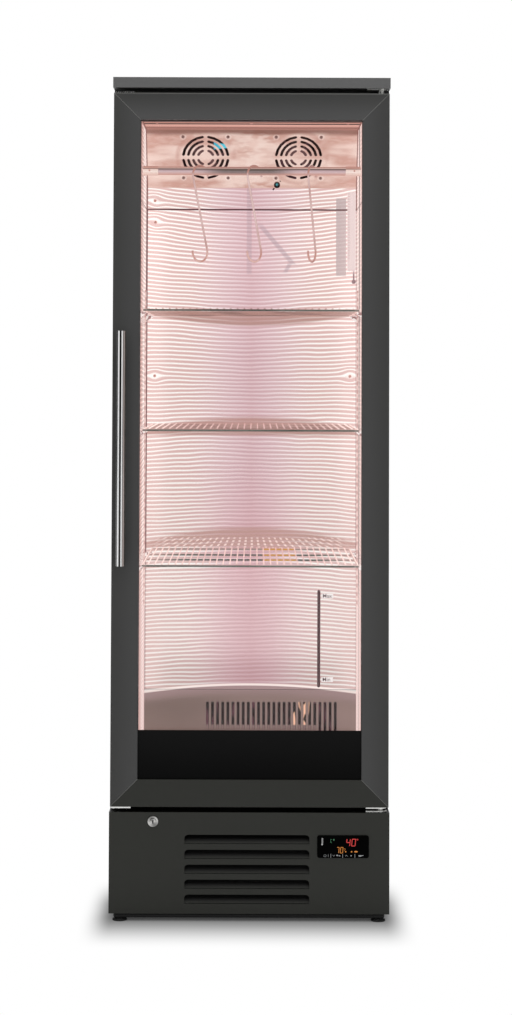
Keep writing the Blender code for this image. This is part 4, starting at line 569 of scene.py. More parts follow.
def curl(x, z, radius, width, start, end, steps=14):
    """A curved stroke about a centre, between two angles in degrees."""
    turns = [math.radians(start + (end - start) * n / steps) for n in range(steps + 1)]
    outer, inner = ([(x + reach * math.cos(t), z + reach * math.sin(t)) for t in turns]
                    for reach in (radius + width / 2, radius - width / 2))
    return [[outer[n], outer[n + 1], inner[n + 1], inner[n]] for n in range(steps)]


def figure(lamps, x, z, width, height, thick):
    """A seven-segment figure: the segments that are lit, from a at the top round to g in the middle."""
    half = height / 2
    ends = {"a": (0, height, width, height), "b": (width, height, width, half), "c": (width, half, width, 0),
            "d": (0, 0, width, 0), "e": (0, half, 0, 0), "f": (0, height, 0, half), "g": (0, half, width, half)}
    shapes = []
    for lamp in lamps:
        start, end = Vector(ends[lamp][:2]), Vector(ends[lamp][2:])
        gap = (end - start).normalized() * thick * 0.12
        bar = stroke(*(start + gap), *(end - gap), thick)
        shapes.append([(x + across + up * DISPLAY_LEAN, z + up) for across, up in bar])
    return shapes


def shown_on_window(name, shapes, colour, strength):
    """Signs of one colour that shine through the window."""
    light = Finish(name + "_light", base_color=(0.02, 0.02, 0.02), roughness=0.5)
    glow = light.grain(500.0).mix(tuple(part * 0.75 for part in colour), colour)
    light.set(emission_color=glow, emission_strength=strength)
    placed = [[(window_x + x / 1000, window_z + z / 1000) for x, z in shape] for shape in shapes]
    plates(name, placed, window_low.y - 0.0001, window_low.y + 0.0004, light, "black_plastic")


red = figure("bcfg", 7.0, 1.8, 7.2, 14.4, 1.5) + figure("abcdef", 18.2, 1.8, 7.4, 14.4, 1.5)
red += curl(30.6, 15.4, 1.3, 0.8, 0, 360)
shown_on_window("display_red", red, seen(224, 44, 40), 0.95)
amber = figure("abc", -14.2, -13.2, 4.8, 12.0, 1.2) + figure("abcdef", -6.0, -13.2, 5.0, 12.0, 1.2)
amber += [spot(3.6, -4.2, 0.8, 0.8), spot(5.6, -10.4, 1.3, 1.5), stroke(2.6, -8.4, 6.0, -4.8, 0.5)]
amber += [spot(18.3, -10.4, 1.6, 1.5), spot(27.6, -10.3, 3.8, 1.6)]
shown_on_window("display_amber", amber, seen(228, 138, 30), 0.85)
green = [spot(-19.8, 14.8, 1.5, 2.0), stroke(-26.6, 16.0, -26.6, 8.0, 0.7),
         stroke(-26.6, 12.0, -24.0, 7.4, 0.7), stroke(-26.6, 15.4, -23.8, 15.4, 0.7)]
shown_on_window("display_green", green, seen(30, 128, 76), 0.6)
# Painted light: the printed key signs glow like the lamps, though they are print.
keys = curl(-38.6, -19.0, 2.6, 0.5, 120, 420) + [stroke(-38.6, -17.8, -38.6, -15.6, 0.5)]
keys += [stroke(-31.6, -16.4, -31.6, -21.6, 0.6), stroke(-22.0, -17.4, -19.7, -20.4, 0.5),
         stroke(-19.7, -20.4, -17.4, -17.4, 0.5), spot(-12.4, -18.2, 2.2, 1.3), spot(-7.6, -19.2, 1.9, 1.0)]
keys += [stroke(4.6, -20.4, 7.2, -17.4, 0.5), stroke(7.2, -17.4, 9.8, -20.4, 0.5), spot(17.2, -18.8, 1.3, 1.2)]
keys += [spot(36.2, -19.2, 3.6, 1.5), stroke(38.0, -18.9, 43.4, -18.1, 1.3)]
keys += [stroke(x, -15.2, x, -23.2, 0.8) for x in (-26.1, -0.9, 25.3)]
shown_on_window("display_keys", keys, seen(170, 172, 174), 0.75)
thermometer = [stroke(-44.7, 17.8, -44.7, 6.6, 1.5), spot(-44.7, 17.9, 0.75, 0.75), spot(-44.7, 5.0, 1.8, 1.8)]
thermometer += [stroke(-43.4, z, -41.8, z, 0.6) for z in (8.6, 11.4, 14.2, 17.0)]
shown_on_window("display_sign", thermometer, seen(190, 190, 190), 0.75)

# The chamber: bright steel sheet beside a strip of warm pink lamps down each side of the door. The
# lamps' light and their reflections are painted into the steel's glow: each lamp shows in the rolled grain
# of the sheet as one long, wavy painted streak. Dark joints part the fitted panels, and painted shade
# darkens the panels' folded edges.
STREAK_PITCH = 0.00965
# Painted light: the colours of the painted streaks, of the painted reflections of the shelves, of a painted grey
# sheen and of painted shade in the duct. JOINT is the colour of the dark joints and of the painted shade at the
# folded edges.
CREAM, ROSE = seen(255, 253, 248), seen(214, 175, 171)
PALE_LILAC, MAUVE = seen(244, 228, 231), seen(205, 166, 171)
SHELF_REFLECTION, SHEEN_GREY = seen(178, 138, 130), seen(162, 134, 134)
JOINT, DUCT_SHADE = seen(92, 56, 60), seen(34, 20, 22)
SEAM_SCREWS = ((-0.235, 1.589), (-0.2335, 1.537), (-0.234, 1.1643), (0.2386, 1.1646))
SEAM_Z = 1.5685
SHELF_HEIGHTS = (0.748, 1.046, 1.311)
DOME_TOP, DOME_BOW = 0.4190, 0.27
SHELF_IMAGES = ((0.750, 0.802, 0.55), (1.020, 1.068, 0.42), (1.285, 1.322, -0.42))
DASHES_Z, DASH_WIDE, DASH_HIGH = 0.763, 0.0152, 0.0078
IMAGE_X, IMAGE_LOW, IMAGE_HIGH = 0.2165, 1.408, 1.596
WALL_SCREW = 0.0038
back_low, back_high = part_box("back_panel")
liner_low, liner_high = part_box("liner")
duct_y = back_low.y + 0.0005


def bands(level, *stops):
    """Bands of colour along a wire. Each stop is a place from 0 to 1 and the colour seen there."""
    stops = [(place, seen(*colour)) for place, *colour in stops]
    return level.node("ShaderNodeValToRGB", {"stops": stops}, {0: level})


def streaks(finish, x, y, z, dimples=()):
    """How bright a streak is at a place, and its colour. The streaks are painted reflections of the lamps:
    each side's lamps give their own row, and the two rows pass between each other in the middle. Streaks
    part round each screw's dimple, and their painted light grows higher up."""
    sway = finish.cloud(x * 2.2, y * 2.2, z * 3.0, scale=1.6) - 0.5
    ripple = finish.cloud(x * 6.0, y * 6.0, z * 9.0, scale=2.0) - 0.5
    bow = z.ramp(1.30, 0.85) * 0.25 - z.ramp(1.15, 1.55) * 0.22
    level = z + sway * 0.020 + ripple * 0.006 + x * x * bow
    for place_x, place_z in dimples:
        away = ((x - place_x) / 0.019) ** 2.0 + ((z - place_z) / 0.0160) ** 2.0
        level = level - (z - place_z) * finish.math("EXPONENT", 0 - away) * 0.95
    rows = []
    for side in (1, -1):
        wave = finish.math("SINE", (level + x * (side * 0.03)) / STREAK_PITCH * math.tau) * 0.5 + 0.5
        rows.append(wave ** 2.0 * (x.ramp(side * 0.09, side * -0.13) * 0.86 + 0.14))
    crest = rows[0].either(rows[1])
    side = abs(x).ramp(0.02, 0.18)
    low = z.ramp(1.00, 0.70)
    trough = side.mix(low.mix(MAUVE, seen(206, 158, 163)), ROSE)
    colour = crest.mix(trough, side.mix(low.mix(PALE_LILAC, seen(236, 204, 212)), CREAM))
    # Painted light: the streaks are brighter higher up.
    painted_light_rise = z.ramp(0.50, 1.10) * 0.21 + z.ramp(1.10, 1.50) * 0.11 + 0.79
    return crest, painted_light_rise.times(colour)


def glowing(name, colour_of, glow, gloss=0.18, base=(0.26, 0.22, 0.22)):
    """Bright steel that glows: its light from the lamp strips is painted into its emission colour. It mirrors
    a little of what is near it.
    """
    finish = Finish(name, metallic=1.0, roughness=gloss, base_color=base, emission_strength=glow)
    return finish.set(emission_color=colour_of(finish, *finish.places()))


def painted_mirror_images(colour, x, z):
    """Painted reflections: the dull mirror images of the middle hook and of the lamp housing on the wall."""
    housing = abs(x - IMAGE_X).ramp(0.0128, 0.0112)
    housing = housing * (z - IMAGE_LOW).ramp(-0.002, 0.002) * (z - IMAGE_HIGH).ramp(0.002, -0.002)
    colour = (housing * 0.86).mix(colour, seen(190, 172, 172))
    dots = x.math("SINE", z / 0.0048 * math.tau) * 0.25 + 0.75
    upright = abs(x + 0.0062).ramp(0.0070, 0.0050) * (z - 1.412).ramp(-0.003, 0.003) * dots
    lean = abs(x - 0.0122 - (1.540 - z) * 0.849) * 0.762
    leaning = lean.ramp(0.0062, 0.0044) * (z - 1.436).ramp(-0.004, 0.004) * (z - 1.545).ramp(0.0, -0.03)
    tip = abs(x - 0.0920 + (1.436 - z) * 0.55).ramp(0.0062, 0.0044)
    tip = tip * (z - 1.416).ramp(-0.003, 0.003) * (z - 1.438).ramp(0.003, -0.003)
    return (upright.either(leaning.either(tip)) * 0.46).mix(colour, seen(172, 150, 160))


def over_dome(x, z):
    """How far a place is above the bowed upper edge of the intake's painted sheen."""
    return z + x * x * DOME_BOW - DOME_TOP


def dome_edge(colour, x, z):
    """The lowest painted streak of the wall, which follows that edge."""
    return (abs(over_dome(x, z) - 0.0030).ramp(0.0036, 0.0016) * 0.85).mix(colour, seen(252, 236, 230))


def wall_colour(finish, x, y, z):
    """The painted streaks, bronze painted reflections of the shelves, fanned dashes of painted reflection
    over the lowest of them, the painted mirror images, a painted grey sheen under the bowed edge, dark
    joints, and painted shade along the folded side edges.
    """
    crest, colour = streaks(finish, x, y, z, SEAM_SCREWS)
    for low, high, bow in SHELF_IMAGES:
        top = high - (x * x * bow if bow > 0 else 0.0)
        foot = low + (x * x * -bow if bow < 0 else 0.0)
        band = (z - foot).ramp(-0.002, 0.005) * (z - top).ramp(0.004, -0.010)
        colour = (band * (0.88 - crest * 0.20)).mix(colour, SHELF_REFLECTION)
    fanned = x * ((z - DASHES_Z) * 9.0 + 1.0) / DASH_WIDE
    stacked = (z + x * x * 0.4) / DASH_HIGH
    dashes = (finish.math("FRACT", fanned) < 0.34) * (finish.math("FRACT", stacked) < 0.62)
    dashes = dashes * abs(z - DASHES_Z).ramp(0.014, 0.010) * abs(x).ramp(0.245, 0.20)
    colour = (dashes * 0.62).mix(colour, seen(248, 228, 222))
    colour = painted_mirror_images(colour, x, z)
    colour = (z - back_high.z).ramp(-0.0030, -0.0016).mix(colour, JOINT)
    colour = over_dome(x, z).ramp(0.0012, -0.0006).mix(colour, SHEEN_GREY)
    colour = dome_edge(colour, x, z)
    # Painted shade along the folded side edges, stronger on the left and higher up.
    corner = (abs(x) - back_high.x).ramp(-0.0034, -0.0018)
    upright = (0.35 + z.ramp(0.66, 0.76) * 0.65) * (0.40 + (x < 0.0) * 0.60)
    return (corner * upright).mix(colour, JOINT)


def liner_colour(finish, x, y, z):
    """Painted light on the side walls: upright bands of painted reflection lit by the painted streaks, a
    painted paler patch at the back on the right, a pinker tone low down, painted glints by the shelves,
    dark joints and dark upright lines, painted shade on the ceiling, a painted sheen on the floor, and
    painted shade with painted glints in the duct behind.
    """
    crest = streaks(finish, x, y, z)[0]
    deep = (y - liner_low.y) / (back_low.y - liner_low.y)
    upright = bands(deep, (0.0, 204, 160, 154), (0.14, 255, 244, 238), (0.36, 228, 194, 186),
                    (0.56, 204, 160, 152), (0.80, 255, 236, 230), (0.97, 246, 216, 210))
    colour = (0.68 + crest * 0.50).times(upright)
    colour = ((x > 0.0) * y.ramp(0.00, 0.05) * 0.45).mix(colour, seen(250, 228, 221))
    colour = (z.ramp(0.80, 0.60) * 0.35).mix(colour, seen(208, 172, 170))
    clip_glints = finish.cloud(x * 200.0, y * 90.0, z * 260.0).ramp(0.42, 0.58)
    for height in SHELF_HEIGHTS:
        near = abs(z - height + 0.010).ramp(0.020, 0.008) * 0.75
        colour = near.mix(colour, clip_glints.mix(seen(150, 104, 102), seen(255, 240, 234)))
    gap = y.ramp(0.242, 0.250) * (x < 0.0) + abs(y - 0.145).ramp(0.028, 0.018) * 0.90 * (x > 0.0)
    colour = (gap * (z.ramp(0.62, 0.70) * 0.56 + 0.36)).mix(colour, JOINT)
    colour = (abs(z - SEAM_Z).ramp(0.0018, 0.0010) * 0.8).mix(colour, JOINT)
    # Painted shade on the ceiling, and a painted sheen on the floor.
    colour = (z > liner_high.z - 0.004).mix(colour, seen(150, 102, 90))
    colour = (z < liner_low.z + 0.004).mix(colour, SHEEN_GREY)
    glint = finish.cloud(x * 70.0, y * 20.0, z * 22.0, 2.0)
    duct = glint.ramp(0.52, 0.66).mix(DUCT_SHADE, seen(96, 60, 70))
    bright = abs(x - 0.122).ramp(0.026, 0.018) * glint.ramp(0.48, 0.52)
    duct = bright.mix(duct, seen(238, 186, 158))
    return (y > duct_y).mix(colour, duct)


paint(glowing("wall_steel", wall_colour, 1.01, base=(0.20, 0.17, 0.17)), "back_panel")
liner_steel = glowing("liner_steel", liner_colour, 1.01)
x, y, z = liner_steel.places()
# Painted shade: the steel's base colour is darker in the duct.
liner_base = (y > duct_y).mix((0.10, 0.08, 0.08), (0.01, 0.007, 0.007))
liner_steel.set(base_color=liner_base, metallic=0.15, specular_ior_level=0.0)
paint(liner_steel, "liner")
paint(moulded("foam", (0.62, 0.55, 0.36), 0.8), "foam_insulation")

base, radius, height, finish = plan("screw_heads", Radius="Float", Height="Float", Finish="Material")
head = base.node("GeometryNodeMeshCone", inputs={
    "Vertices": 20, "Radius Top": radius * 0.62, "Radius Bottom": radius, "Depth": height,
})
cross = []
for length, breadth in ((1.15, 0.24), (0.24, 1.15)):
    bar = base.node("GeometryNodeMeshCube", inputs={"Size": base.at(radius * length, radius * breadth, height)})
    lift = {"Geometry": bar, "Translation": base.at(z=height)}
    cross.append(bar.node("GeometryNodeTransform", inputs=lift))
cut = head.node("GeometryNodeMeshBoolean", {"solver": "EXACT"}, {"Mesh 1": head, "Mesh 2": cross})
facing = base.node("GeometryNodeInputNamedAttribute", {"data_type": "FLOAT_VECTOR"}, {"Name": "facing"})
turn = facing.node("FunctionNodeAlignRotationToVector", {"axis": "Z"}, {"Vector": facing})
set_in = base.node("GeometryNodeInstanceOnPoints", inputs={"Points": base, "Instance": cut, "Rotation": turn})
screw_plan = end_plan(set_in, finish)


def screws(name, places, radius, finish, height=None, body="cabinet"):
    """Pan-head screws with a driven cross at these places, each given with the way that it faces."""
    base = points(name, [place for place, facing in places])
    facings = base.attributes.new("facing", "FLOAT_VECTOR", "POINT")
    facings.data.foreach_set("vector", [part for place, facing in places for part in facing])
    grow(name, screw_plan, base, "zinc", body=body, Radius=radius, Height=height or radius * 0.42,
         Finish=finish.material)


rose_screw = plated("rose_screw", (0.70, 0.50, 0.46), 0.3)
# The screws glow with painted light from the lamps.
rose_screw.set(emission_color=seen(150, 100, 94), emission_strength=0.45)
wall_places = [((x, back_low.y - 0.0001, z), (0, -1, 0)) for x, z in SEAM_SCREWS]
screws("wall_screws", wall_places, WALL_SCREW, rose_screw)

# The air intake: a folded panel of brushed steel low on the back wall, with a row of upright slots and a
# slotted ledge behind them. It glows with painted light: a painted sheen bowed along its upper edge,
# the wall's painted pink streaks above it, and painted shade in the slots.
LEDGE_LEFT, LEDGE_RIGHT = -0.108, 0.165
LEDGE_LOW, LEDGE_HIGH = 0.3085, 0.3245
LEDGE_PITCH = 0.0123
SLOT_SHIFT, SLOTS_MIDDLE, SLOTS_REACH, SLOTS_TOP = 0.1026, 0.05105, 0.1572, 0.3808
intake_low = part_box("intake_grille")[0]


def brushed(name, tone, gloss=0.38, glow=0.0, grain_length=12.0):
    """Steel with a level brushed grain. Given a glow, its grain also shines as painted light."""
    finish = Finish(name, metallic=0.6)
    x, y, z = finish.places()
    grain = finish.cloud(x * grain_length, y * grain_length, z * 900.0, 2.0)
    smear = finish.cloud(x * 5.0, y * 5.0, z * 16.0)
    tint = (0.80 + grain * 0.16 + smear * 0.24).times(tone)
    finish.set(base_color=tint, roughness=gloss - 0.06 + grain * 0.12)
    return finish.set(emission_color=tint, emission_strength=glow) if glow else finish


def slot_shade(x, y, z):
    """1 along the rims and on the inner sides of the slots, where the light hardly reaches."""
    slot = abs(to_nearest(x + SLOT_SHIFT, LEDGE_PITCH)).ramp(0.0035, 0.0031)
    slot = slot * (z < SLOTS_TOP) * (abs(x - SLOTS_MIDDLE) < SLOTS_REACH)
    return slot.either(y > intake_low.y + 0.0020)


def intake_colour(finish, x, y, z):
    smear = finish.cloud(x * 7.0, y * 5.0, z * 20.0)
    grain = finish.cloud(x * 10.0, y * 10.0, z * 900.0, 2.0)
    # Painted light: the glowing brushed tone, darker on the left, under a painted grey sheen and the painted
    # streaks.
    colour = x.ramp(-0.20, 0.02).mix(seen(122, 101, 94), seen(138, 114, 108))
    colour = (0.80 + smear * 0.30 + grain * 0.10).times(colour)
    above = over_dome(x, z)
    colour = (above.ramp(-0.030, -0.004) * 0.8).mix(colour, SHEEN_GREY)
    colour = above.ramp(-0.0010, 0.0008).mix(colour, streaks(finish, x, y, z)[1])
    return slot_shade(x, y, z).mix(dome_edge(colour, x, z), seen(24, 15, 17))


def oblong(left, right, low, high):
    """The outline of an oblong plate."""
    return [(left, low), (right, low), (right, high), (left, high)]


intake_steel = glowing("intake_steel", intake_colour, 0.88, 0.34)
shade = slot_shade(*intake_steel.places())
intake_steel.set(base_color=shade.mix((0.08, 0.07, 0.07), (0.004, 0.003, 0.003)))
paint(intake_steel, "intake_grille")
teeth = [n * LEDGE_PITCH + LEDGE_LEFT + 0.002 for n in range(22)]
ledge = [oblong(left, left + 0.0090, LEDGE_LOW, LEDGE_HIGH) for left in teeth]
ledge.append(oblong(LEDGE_LEFT, LEDGE_RIGHT, LEDGE_HIGH - 0.0005, LEDGE_HIGH + 0.0019))
# The ledge glows with painted light.
ledge_steel = brushed("ledge_steel", (0.10, 0.065, 0.062), 0.4, 1.6, 160.0)
plates("intake_ledge", ledge, intake_low.y + 0.0016, intake_low.y + 0.0024, ledge_steel, "brushed_steel")

# The water tank behind the level slot: smoky blow-moulded plastic that glows with painted light, with a
# painted highlight along its lower left edge. Two white plastic labels beside the slot mark its levels.
LABEL_LEFT, LABEL_RIGHT, LABEL_HEIGHT = 0.1715, 0.1995, 0.0115
tank_plastic = moulded("tank_plastic", (0.03, 0.018, 0.018))
x, y, z = tank_plastic.places()
# Painted light: the tank glows dark maroon, with a painted highlight along its lower left edge.
edge_light = x.ramp(0.146, 0.128) * z.ramp(0.46, 0.40)
tank_plastic.set(emission_color=edge_light.mix(seen(72, 46, 50), seen(236, 176, 150)), emission_strength=0.8)
paint(tank_plastic, "water_tank")
# The labels and their lettering glow with painted light.
label_white = Finish("label_white", roughness=0.5, base_color=(0.06, 0.05, 0.05), emission_strength=0.90)
label_white.set(emission_color=label_white.grain(300.0, 2.0).mix(seen(244, 234, 232), seen(252, 246, 244)))
label_ink = Finish("label_ink", base_color=(0.02, 0.012, 0.014), roughness=0.6, emission_strength=0.8)
label_ink.set(emission_color=label_ink.grain(900.0).mix(seen(76, 50, 56), seen(100, 72, 76)))
for word, low_z in (("Max", 0.629), ("Min", 0.4285)):
    label = oblong(LABEL_LEFT, LABEL_RIGHT, low_z, low_z + LABEL_HEIGHT)
    plates("label_" + word, [label], back_low.y - 0.0005, back_low.y + 0.0001, label_white, "white_plastic")
    letters = bpy.data.curves.new("word_" + word, "FONT")
    letters.body = word
    letters.size = 0.0132
    letters.offset = 0.00003
    letters.extrude = 0.0001
    carrier = bpy.data.objects.new("word_" + word, letters)
    scene.collection.objects.link(carrier)
    mesh = bpy.data.meshes.new_from_object(carrier.evaluated_get(bpy.context.evaluated_depsgraph_get()))
    bpy.data.objects.remove(carrier)
    bm = bmesh.new()
    bm.from_mesh(mesh)
    bmesh.ops.remove_doubles(bm, verts=bm.verts, dist=1e-6)
    place = Matrix.Translation((LABEL_LEFT + 0.0022, back_low.y - 0.0006, low_z + 0.0017))
    bmesh.ops.transform(bm, matrix=place @ Matrix.Rotation(math.pi / 2, 4, "X"), verts=bm.verts)
    keep("lettering_" + word, bm, label_ink, "white_plastic")

# The evaporator cover: one bent sheet of the same bright steel with two pressed fan guards. Its upright
# foot carries the painted streaks, and its slope a painted reflection of the warm ceiling in salmon and
# soft brown waves.
APRON_TOP = 1.6207
FAN_X, FAN_Y, FAN_Z = 0.1118, 0.2247, 1.6905
FAN_SCREW = 0.0540
FAN_LEAN = 0.866
cover_low, cover_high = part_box("evaporator_cover")
flange_z = cover_high.z - 0.0025
fan_plane = Matrix.Translation((0.0, FAN_Y, FAN_Z)) @ Matrix.Rotation(math.radians(30.0), 4, "X")


def cover_colour(finish, x, y, z):
    """Painted light: painted streaks on the apron; on the slope, painted reflection waves, painted shade in
    rings round the fans, painted highlight rings round the fan screws and painted shade below the flange;
    level bands of painted reflection on the flange, with a darker front edge; a pale line along the bend,
    a dark joint at the foot and painted shade at the corners.
    """
    apron = streaks(finish, x, y, z, SEAM_SCREWS[:1])[1]
    # Painted reflection waves on the slope follow this noise.
    painted_light_drift = finish.cloud(x * 7.0 + 3.0, y * 7.0, z * 34.0, 2.0)
    ripples = finish.cloud(x * 46.0, y * 46.0, z * 150.0)
    between = abs(x).ramp(0.075, 0.02)
    slope = painted_light_drift.ramp(0.36, 0.64).mix(seen(206, 160, 147), seen(238, 208, 197))
    slope = (ripples.ramp(0.40, 0.62) * (0.16 + between * 0.34)).mix(slope, seen(246, 224, 214))
    across, up = abs(x) - FAN_X, (z - FAN_Z) / FAN_LEAN
    # Painted shade in broken rings round the fans.
    fan_ring_shade = abs(far(across, up) - 0.0680).ramp(0.0090, 0.001) * finish.cloud(x, y, z, scale=30.0).ramp(0.40, 0.55)
    slope = (fan_ring_shade * 0.50).mix(slope, seen(200, 150, 138))
    screw = far(abs(across) - FAN_SCREW, abs(up) - FAN_SCREW)
    # Painted highlight rings round the fan screws.
    slope = (abs(screw - 0.0062).ramp(0.0024, 0.0010) * 0.30).mix(slope, seen(250, 234, 226))
    # Painted shade below the flange.
    upper = (z - 1.737 - painted_light_drift * 0.012).ramp(-0.004, 0.006)
    slope = (upper * 0.90).mix(slope, seen(131, 89, 78))
    # Level bands of painted reflection on the flange.
    lines = finish.cloud(x * 3.0, y * 160.0, z * 260.0)
    bend = finish.cloud(x * 4.0, 0.0, 0.0) * 0.020
    level = bands((y + bend - 0.057) / 0.140, (0.04, 196, 142, 128), (0.14, 216, 160, 146), (0.17, 40, 24, 20),
                  (0.30, 56, 34, 30), (0.34, 226, 172, 158), (0.62, 210, 154, 141), (0.74, 142, 96, 85),
                  (1.00, 168, 116, 104))
    slope = (z > flange_z).mix(slope, (0.84 + lines * 0.24).times(level))
    slope = (y < cover_low.y + 0.0030).mix(slope, seen(84, 50, 43))
    colour = (z - APRON_TOP).ramp(-0.0005, 0.0005).mix(painted_mirror_images(apron, x, z), slope)
    colour = (abs(z - APRON_TOP).ramp(0.0014, 0.0006) * 0.35).mix(colour, seen(206, 162, 152))
    colour = (z - cover_low.z).ramp(0.0016, 0.0008).mix(colour, JOINT)
    # Painted shade at the corners.
    corner = (abs(x) - cover_high.x).ramp(-0.0032, -0.0020)
    return (corner * 0.9).mix(colour, seen(128, 82, 78))


cover_steel = glowing("cover_steel", cover_colour, 0.98, base=(0.12, 0.10, 0.10))
x, y, z = cover_steel.places()
cover_steel.set(metallic=1.0 - (z > flange_z), specular_ior_level=0.0)
paint(cover_steel, "evaporator_cover")
paint(brushed("fin_aluminium", (0.10, 0.08, 0.08)), "evaporator_coil")
dark_plastic = moulded("dark_plastic", (0.012, 0.006, 0.007), 0.45)
x, y, z = dark_plastic.places()
# Painted light: the dark plastic glows, with stray pink painted glints, and is paler round the hub.
stray_glints = dark_plastic.grain(60.0).ramp(0.45, 0.70).mix(seen(20, 10, 12), seen(74, 44, 52))
hub = far(abs(x) - FAN_X, (z - FAN_Z) / FAN_LEAN)
dark_plastic.set(emission_color=hub.ramp(0.040, 0.022).mix(stray_glints, seen(104, 74, 74)), emission_strength=0.8)
paint(dark_plastic, "fan_frame_left", "fan_frame_right", "impeller_left", "impeller_right")
grey_screw = plated("grey_screw", (0.36, 0.32, 0.31), 0.3)
# The screws glow with painted light from the lamps.
grey_screw.set(emission_color=seen(112, 82, 78), emission_strength=0.5)
outward = fan_plane.to_3x3() @ Vector((0, -1, 0))
fan_corners = [(centre + across, up) for centre in (-FAN_X, FAN_X) for across in (-FAN_SCREW, FAN_SCREW)
               for up in (-FAN_SCREW, FAN_SCREW)]
fan_places = [(fan_plane @ Vector((x, 0.0, up)), outward) for x, up in fan_corners]
screws("fan_screws", fan_places, 0.0042, grey_screw, 0.0016)
ceiling_places = [((x, 0.062, cover_high.z - 0.0011), (0, 0, -1)) for x in (-0.222, -0.0015, 0.224)]
screws("ceiling_screws", ceiling_places, WALL_SCREW, rose_screw)

# The germicidal lamp's glint: a thin flat strip just behind the left fan guard glows blue-green through
# the slots, painted light that stands for the lamp in the air duct.
LAMP_STRIP = ((-0.0920, 0.0395), (-0.0600, 0.0335), (-0.0600, 0.0245), (-0.0920, 0.0205))
glow_glass = Finish("glow_glass", base_color=(0.02, 0.10, 0.12), roughness=0.3, emission_strength=0.9)
x, y, z = glow_glass.places()
glow_glass.set(emission_color=x.ramp(-0.093, -0.062).mix(seen(60, 170, 196), seen(96, 208, 228)))
plates("lamp_glint", [LAMP_STRIP], 0.0016, 0.0022, glow_glass, "clear_glass", place=fan_plane)

# The temperature probe: a turned black ring on the cover with a blue-green lens, which glows with a
# painted highlight across it. A spring clip of the same black plastic holds it.
PROBE_X, PROBE_Z = 0.0605, 1.6279
probe_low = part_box("temperature_probe")[0]
probe_black = moulded("probe_black", (0.020, 0.010, 0.011), 0.35)
paint(probe_black, "temperature_probe")
lens = Finish("probe_lens", base_color=(0.01, 0.05, 0.06), roughness=0.15, emission_strength=0.7)
x, y, z = lens.places()
# Painted highlight: the lens glows, paler towards its upper left.
lens.set(emission_color=(z - x - PROBE_Z + PROBE_X).ramp(-0.004, 0.004).mix(seen(36, 110, 120), seen(96, 190, 196)))
lens_bm = turned([(0.0, 0.0009), (0.0020, 0.0006), (0.0031, 0.0), (0.0031, -0.0020), (0.0, -0.0020)],
                 (PROBE_X, probe_low.y, PROBE_Z), "Y", 24)
keep("probe_lens", lens_bm, lens, "black_plastic")
clip = [stroke(PROBE_X + side * 0.0066, PROBE_Z + side * 0.0080, PROBE_X + side * 0.0100,
               PROBE_Z + side * 0.0126, 0.0034) for side in (-1, 1)]
plates("probe_clip", clip, probe_low.y + 0.004, probe_low.y + 0.0062, probe_black, "black_plastic")

# The lamp housing: white moulded plastic on a strap at the right of the back wall, vented along its
# inner side. Its short lead drops to a dark gland. The housing glows with painted light, its vents are
# painted as darker marks of painted shade, and the lead's colour is painted on its foot.
housing_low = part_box("uv_lamp_housing")[0]
housing_white = moulded("housing_white", (0.34, 0.31, 0.31))
x, y, z = housing_white.places()
# Painted shade in the vents, and painted light over the whole housing.
vents = (housing_white.math("FRACT", z / 0.0062) > 0.62) * x.ramp(housing_low.x + 0.0060, housing_low.x + 0.0046)
vents = vents * (z > housing_low.z + 0.055)
lead = z.ramp(housing_low.z + 0.036, housing_low.z + 0.020)
tint = (vents * 0.5).mix(seen(238, 220, 218), seen(186, 152, 150))
housing_white.set(emission_color=lead.mix(tint, seen(96, 60, 78)), emission_strength=0.72)
paint(housing_white, "uv_lamp_housing")

# The light strips: aluminium channels on the side walls, each with a close row of small pink-white lamps
# behind a frosted cover.
strip_light = Finish("strip_light", base_color=(0.5, 0.46, 0.45), roughness=0.5, emission_strength=1.3)
x, y, z = strip_light.places()
lamp_row = strip_light.math("SINE", z / STREAK_PITCH * math.tau) * 0.25 + 0.75
strip_light.set(emission_color=lamp_row.mix((0.80, 0.62, 0.58), (1.0, 0.93, 0.90)))
paint(strip_light, "led_strip_left", "led_strip_right")


def row_of(item, count, step, first=(0.0, 0.0, 0.0)):
    """Copies of an item in a straight row."""
    sockets = {"Count": count, "Start Location": first, "Offset": step}
    line = item.node("GeometryNodeMeshLine", inputs=sockets)
    return line.node("GeometryNodeInstanceOnPoints", inputs={"Points": line, "Instance": item})


base, count, step, size, finish = plan("rows", Count="Int", Step="Vector", Size="Vector", Finish="Material")
row = row_of(base.node("GeometryNodeMeshCube", inputs={"Size": size}), count, step)
row_plan = end_plan(base.node("GeometryNodeInstanceOnPoints", inputs={"Points": base, "Instance": row}), finish)
chip_light = Finish("chip_light", base_color=(0.6, 0.5, 0.4), roughness=0.4, emission_strength=1.6)
chip_light.set(emission_color=chip_light.grain(400.0).mix((1.0, 0.80, 0.74), (1.0, 0.96, 0.92)))
strip_low, strip_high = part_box("led_strip_left")
chip_starts = [(side * (abs(strip_high.x) - 0.0001), (strip_low.y + strip_high.y) / 2, strip_low.z + 0.008)
               for side in (-1, 1)]
grow("strip_chips", row_plan, points("strip_chips", chip_starts), "diffuser",
     Count=int((strip_high.z - strip_low.z - 0.012) / STREAK_PITCH), Step=(0.0, 0.0, STREAK_PITCH),
     Size=(0.0008, 0.0034, 0.0030), Finish=chip_light.material)

# The hanging bar: a polished stainless tube between two turned sockets, which are screwed to the side
# walls. Long level bands of painted reflection in its glow stand for the lamps and the dim room it mirrors.
SOCKET_RADIUS = 0.0118
bar_low, bar_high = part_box("hanging_bar")
bar_y, bar_z = (bar_low.y + bar_high.y) / 2, (bar_low.z + bar_high.z) / 2
bar_radius = (bar_high.z - bar_low.z) / 2
socket_low, socket_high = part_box("bar_socket_right")


